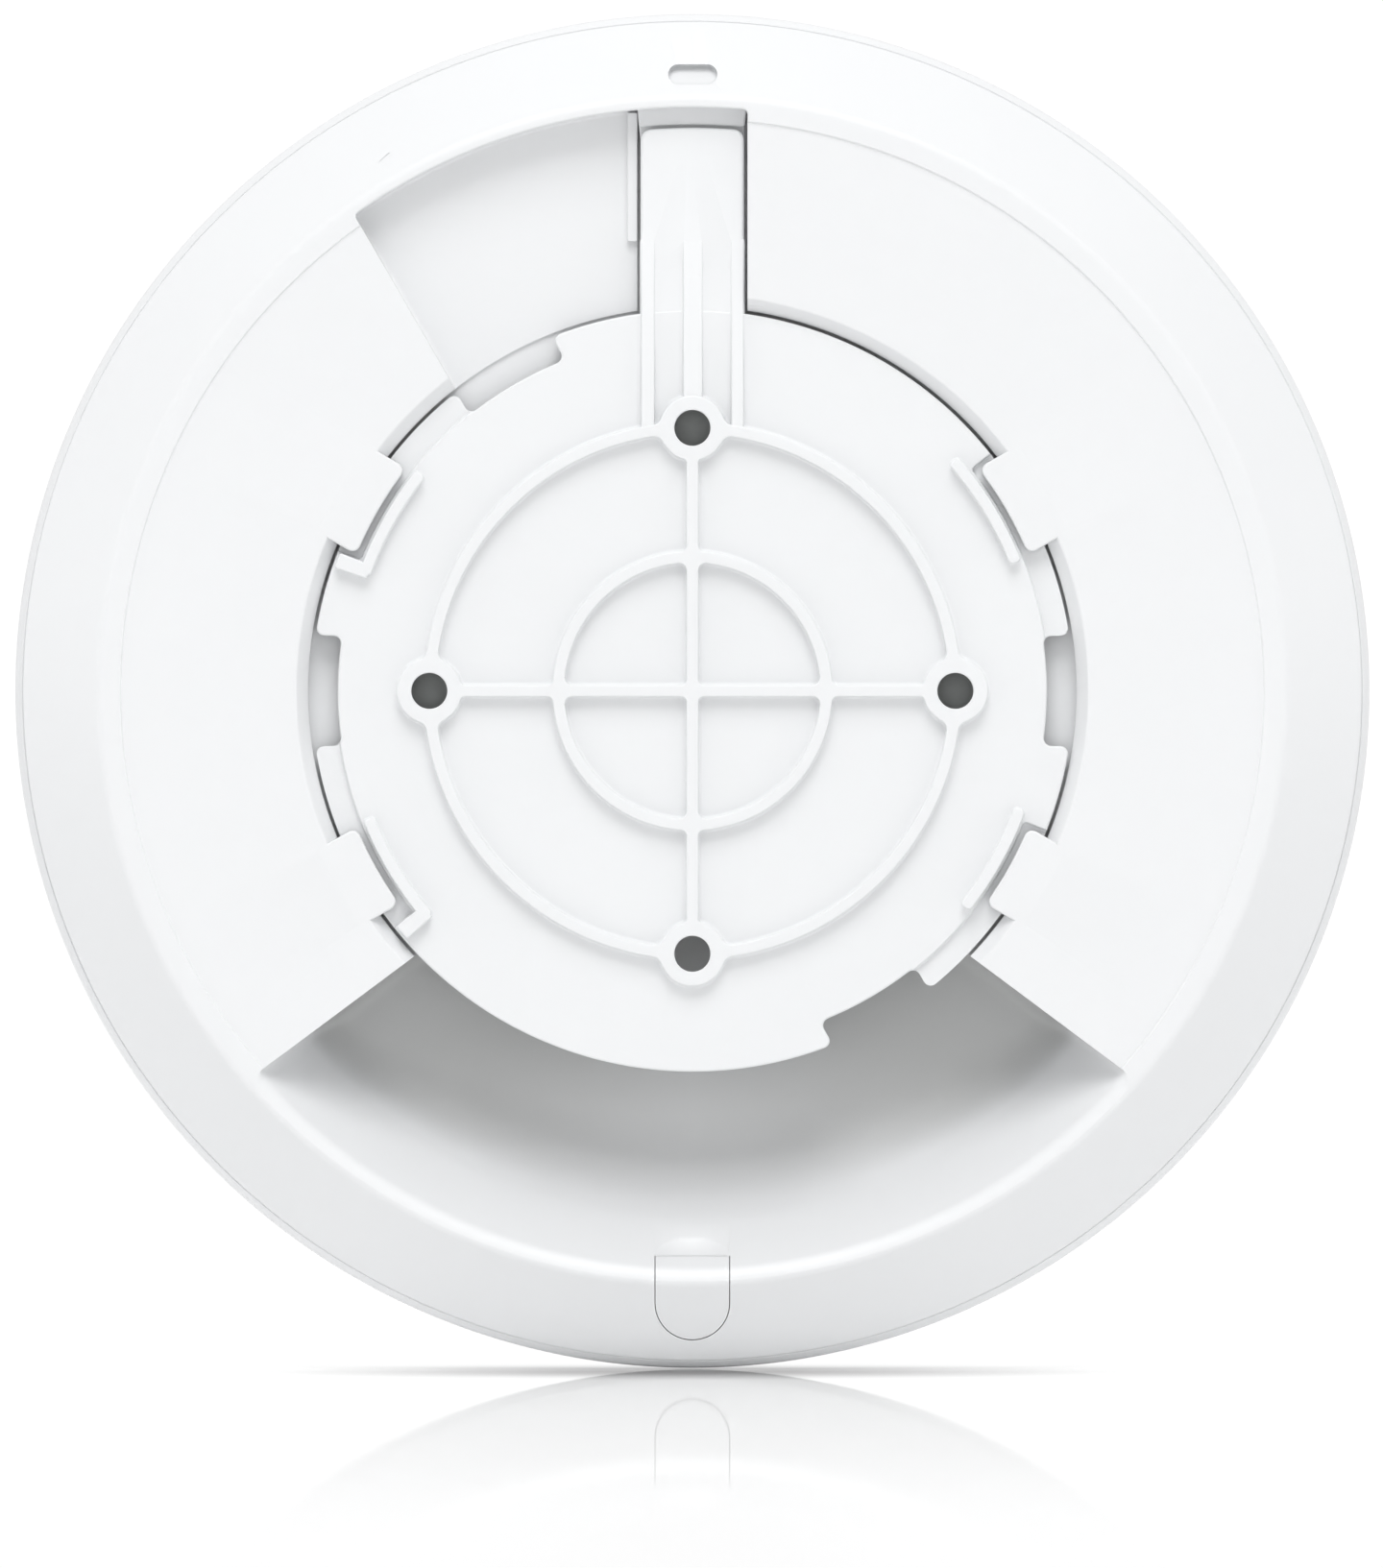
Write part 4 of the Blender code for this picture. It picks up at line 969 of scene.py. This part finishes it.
finishes = {
    "case_white": grained("moulded_white", CASE_WHITE, 0.004, 0.42, grain=2600.0, depth=0.012),
    "bracket_white": grained(
        "bracket_white", BRACKET_WHITE, 0.004, 0.46, grain=2200.0, depth=0.014
    ),
    "clear_plastic": grained(
        "frosted_clear", (0.84, 0.87, 0.90), 0.01, 0.3,
        Transmission_Weight=0.45, Subsurface_Weight=0.1
    ),
    "steel_plate": grained(
        "zinc_steel", (0.30, 0.31, 0.305), 0.12, 0.5, 1.0,
        grain=700.0, depth=0.02, blotch=160.0, stretch=(1.0, 1.0, 12.0)
    ),
    "aluminium": grained(
        "blasted_aluminium", (0.70, 0.71, 0.72), 0.05, 0.42, 1.0, grain=3000.0, depth=0.03
    ),
    "circuit_board": board_material(),
    "chip_black": grained(
        "epoxy_black", (0.028, 0.028, 0.031), 0.25, 0.55, grain=3500.0, depth=0.02
    ),
    "thermal_pad": grained(
        "silicone_pad", (0.42, 0.50, 0.58), 0.08, 0.75, grain=1500.0, depth=0.03
    ),
    "tinned_steel": grained(
        "tin_plate", (0.64, 0.65, 0.66), 0.08, 0.3, 1.0,
        grain=900.0, depth=0.01, blotch=200.0, stretch=(8.0, 1.0, 1.0)
    ),
    "black_plastic": grained(
        "black_nylon", (0.022, 0.022, 0.024), 0.2, 0.5, grain=2600.0, depth=0.02
    ),
    "contact_gold": grained(
        "gold_plate", (0.83, 0.62, 0.26), 0.05, 0.24, 1.0, grain=1600.0, depth=0.006
    ),
    "spacer_brass": grained(
        "turned_brass", (0.74, 0.58, 0.28), 0.08, 0.32, 1.0,
        grain=800.0, depth=0.01, blotch=120.0, stretch=(1.0, 14.0, 1.0)
    ),
    "ferrite": grained(
        "sintered_ferrite", (0.085, 0.085, 0.09), 0.3, 0.7, grain=2200.0, depth=0.05
    ),
    "led_lens": grained("led_lens", (0.88, 0.86, 0.72), 0.03, 0.2, Transmission_Weight=0.2),
}


# ------------------------------------------------------------------ pieces

FLAT = 0.99999  # share of a face's normal along the depth from which it is shaded flat


def dress(obj, slot):
    """Turn a finished piece upright, shade it and give it its finish."""
    bm = bmesh.new()
    bm.from_mesh(obj.data)
    bmesh.ops.triangulate(bm, faces=[face for face in bm.faces if len(face.verts) > 4])
    bm.to_mesh(obj.data)
    bm.free()
    obj.data.transform(UPRIGHT)
    obj.data.materials.clear()
    obj.data.materials.append(finishes[slot])
    obj.data.shade_smooth()
    for face in obj.data.polygons:
        if abs(face.normal.y) > FLAT:
            face.use_smooth = False
        face.material_index = 0
    obj.data.set_sharp_from_angle(angle=math.radians(SMOOTH_ANGLE))
    return obj


slots = {part["node"]: part["material_slot"] for part in frame["record"]["subparts"]}
for name, node in nodes.items():
    node.data.materials.clear()
    node.data.materials.append(finishes[slots[name]])

bracket = dress(build_bracket(), "bracket_white")
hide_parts("bracket_plate", "latch_arm")
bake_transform(bracket)

rear_case, knockout = build_rear_shell()
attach(dress(rear_case, "case_white"), "access_point")
# the rear case gets the white with painted shade in its cable recess
rear_case.data.materials[0] = white_with_painted_recess_shade()
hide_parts("rear_shell")
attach(dress(knockout, "case_white"), "cable_plug")
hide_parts("cable_exit_plug")

front_dome, status_ring = build_front()
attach(dress(front_dome, "case_white"), "access_point")
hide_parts("front_cover")
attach(dress(status_ring, "clear_plastic"), "access_point")
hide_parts("light_ring")


# ------------------------------------------------------------------ floor, light and camera

FLOOR_HALF = 12.0
FLOOR_GAP = 0.0001
WHITE = (1.0, 1.0, 1.0, 1.0)
BLACK = (0.0, 0.0, 0.0, 1.0)
BACKDROP = 1.05  # brightness of everything behind the object
AMBIENT = 0.667  # brightness of the same, as it lights matt surfaces
SHADE_REACH = (0.061, 0.066)  # of the shade at the contact, sideways and in depth
SHADE_SHIFT = 0.15  # towards the viewer, as a share of its depth
SHADE_DARKNESS = 0.56


def mixed(tree, factor, first, second):
    """Mix of two shaders by a plain or linked factor."""
    node = tree.nodes.new("ShaderNodeMixShader")
    if isinstance(factor, float):
        node.inputs["Fac"].default_value = factor
    else:
        tree.links.new(factor, node.inputs["Fac"])
    tree.links.new(first, node.inputs[1])
    tree.links.new(second, node.inputs[2])
    return node.outputs["Shader"]


def diffuse(tree, colour):
    """Matt shader of a plain or linked colour."""
    node = tree.nodes.new("ShaderNodeBsdfDiffuse")
    if isinstance(colour, tuple):
        node.inputs["Color"].default_value = colour
    else:
        tree.links.new(colour, node.inputs["Color"])
    return node.outputs["BSDF"]


def emission(tree, strength):
    """Glow of a plain or linked strength."""
    node = tree.nodes.new("ShaderNodeEmission")
    if isinstance(strength, float):
        node.inputs["Strength"].default_value = strength
    else:
        tree.links.new(strength, node.inputs["Strength"])
    return node.outputs["Emission"]


def length_of(tree, vector):
    node = tree.nodes.new("ShaderNodeVectorMath")
    node.operation = "LENGTH"
    tree.links.new(vector, node.inputs[0])
    return node.outputs["Value"]


def contact_shade(tree, position):
    """Painted soft shade on the floor where the object stands; it takes no light from the object.
    """
    offset = tree.nodes.new("ShaderNodeMapping")
    offset.inputs["Location"].default_value = (0.0, SHADE_SHIFT, 0.0)
    offset.inputs["Scale"].default_value = (1.0 / SHADE_REACH[0], 1.0 / SHADE_REACH[1], 0.0)
    tree.links.new(position, offset.inputs["Vector"])
    near = length_of(tree, offset.outputs["Vector"])
    shade = smooth_range(tree, near, 0.0, 1.0, SHADE_DARKNESS, 0.0)
    rays = tree.nodes.new("ShaderNodeLightPath")
    bounced = math_node(tree, "MULTIPLY", shade, rays.outputs["Is Diffuse Ray"])
    return math_node(tree, "SUBTRACT", shade, bounced)


def floor_material():
    """Pale floor with a mirror image that fades towards the viewer, and white further off."""
    material = bpy.data.materials.new("pale_floor")
    material.use_nodes = True
    tree = material.node_tree
    tree.nodes.clear()
    position = tree.nodes.new("ShaderNodeNewGeometry").outputs["Position"]
    split = tree.nodes.new("ShaderNodeSeparateXYZ")
    tree.links.new(position, split.inputs["Vector"])
    away = split.outputs["Y"]

    paper = diffuse(tree, smooth_range(tree, away, -0.6, 0.3, 0.75, 0.97))
    glow = emission(tree, smooth_range(tree, away, 0.0, 0.04, 1.2, 2.0))
    matt = mixed(tree, 0.2, paper, glow)
    gloss = tree.nodes.new("ShaderNodeBsdfGlossy")
    gloss.inputs["Color"].default_value = WHITE
    gloss.inputs["Roughness"].default_value = 0.02
    mirror = smooth_range(tree, away, -1.5, 0.1, 0.0, 0.62)
    polished = mixed(tree, mirror, matt, gloss.outputs["BSDF"])
    distance = smooth_range(tree, length_of(tree, position), 0.6, 1.8, 0.0, 1.0)
    fading = mixed(tree, distance, polished, emission(tree, BACKDROP))
    shaded = mixed(tree, contact_shade(tree, position), fading, diffuse(tree, BLACK))
    output = tree.nodes.new("ShaderNodeOutputMaterial")
    tree.links.new(shaded, output.inputs["Surface"])
    return material


def build_floor():
    bm = bmesh.new()
    bmesh.ops.create_grid(bm, x_segments=2, y_segments=2, size=FLOOR_HALF)
    floor = new_object("floor", bm)
    floor.location = (0.0, 0.0, -BODY_RADIUS * MM - FLOOR_GAP)
    floor.data.materials.append(floor_material())


def area_light(name, place, size, power):
    """Square soft light that faces the object."""
    light = bpy.data.lights.new(name, "AREA")
    light.shape = "RECTANGLE"
    light.size = size
    light.size_y = size
    light.energy = power
    toward = Vector((0.0, 0.0, 0.0)) - Vector(place)
    obj = bpy.data.objects.new(name, light)
    obj.location = place
    obj.rotation_euler = toward.to_track_quat("-Z", "Y").to_euler()
    obj.visible_camera = False
    bpy.context.scene.collection.objects.link(obj)


def build_world():
    """White surroundings that light matt surfaces less than they show behind the object."""
    world = bpy.data.worlds.new("studio")
    world.use_nodes = True
    tree = world.node_tree
    sky = tree.nodes["Background"]
    sky.inputs["Color"].default_value = WHITE
    rays = tree.nodes.new("ShaderNodeLightPath")
    strength = spread(tree, rays.outputs["Is Diffuse Ray"], BACKDROP, AMBIENT)
    tree.links.new(strength, sky.inputs["Strength"])
    bpy.context.scene.world = world


build_floor()
area_light("key_softbox", (0.0, -0.92, 1.28), 0.9, 14.6)
area_light("left_softbox", (-1.58, -0.28, 0.1), 0.8, 3.2)
area_light("right_softbox", (1.58, -0.28, 0.1), 0.8, 3.0)
area_light("back_softbox", (0.0, 0.80, 1.39), 0.8, 1.0)
build_world()

CAMERA_DISTANCE = 5.0
PICTURE_DEPTH = 0.006  # from the mounting side to the plane that the next number is about
PICTURE_HEIGHT = 0.18504  # in metres
CAMERA_ASIDE = -0.0001
FRAMING_SHIFT = -0.0594  # of the picture, as a share of its longer side

camera_data = bpy.data.cameras.new("camera")
camera = bpy.data.objects.new("camera", camera_data)
bpy.context.scene.collection.objects.link(camera)
camera_data.sensor_width = 36.0
camera_data.lens = camera_data.sensor_width * (CAMERA_DISTANCE + PICTURE_DEPTH) / PICTURE_HEIGHT
camera_data.shift_y = FRAMING_SHIFT
camera_data.clip_end = 60.0
camera.location = (CAMERA_ASIDE, -CAMERA_DISTANCE, 0.0)
camera.rotation_euler = (math.radians(90.0), 0.0, 0.0)
bpy.context.scene.camera = camera
bpy.context.scene.view_settings.view_transform = "Standard"
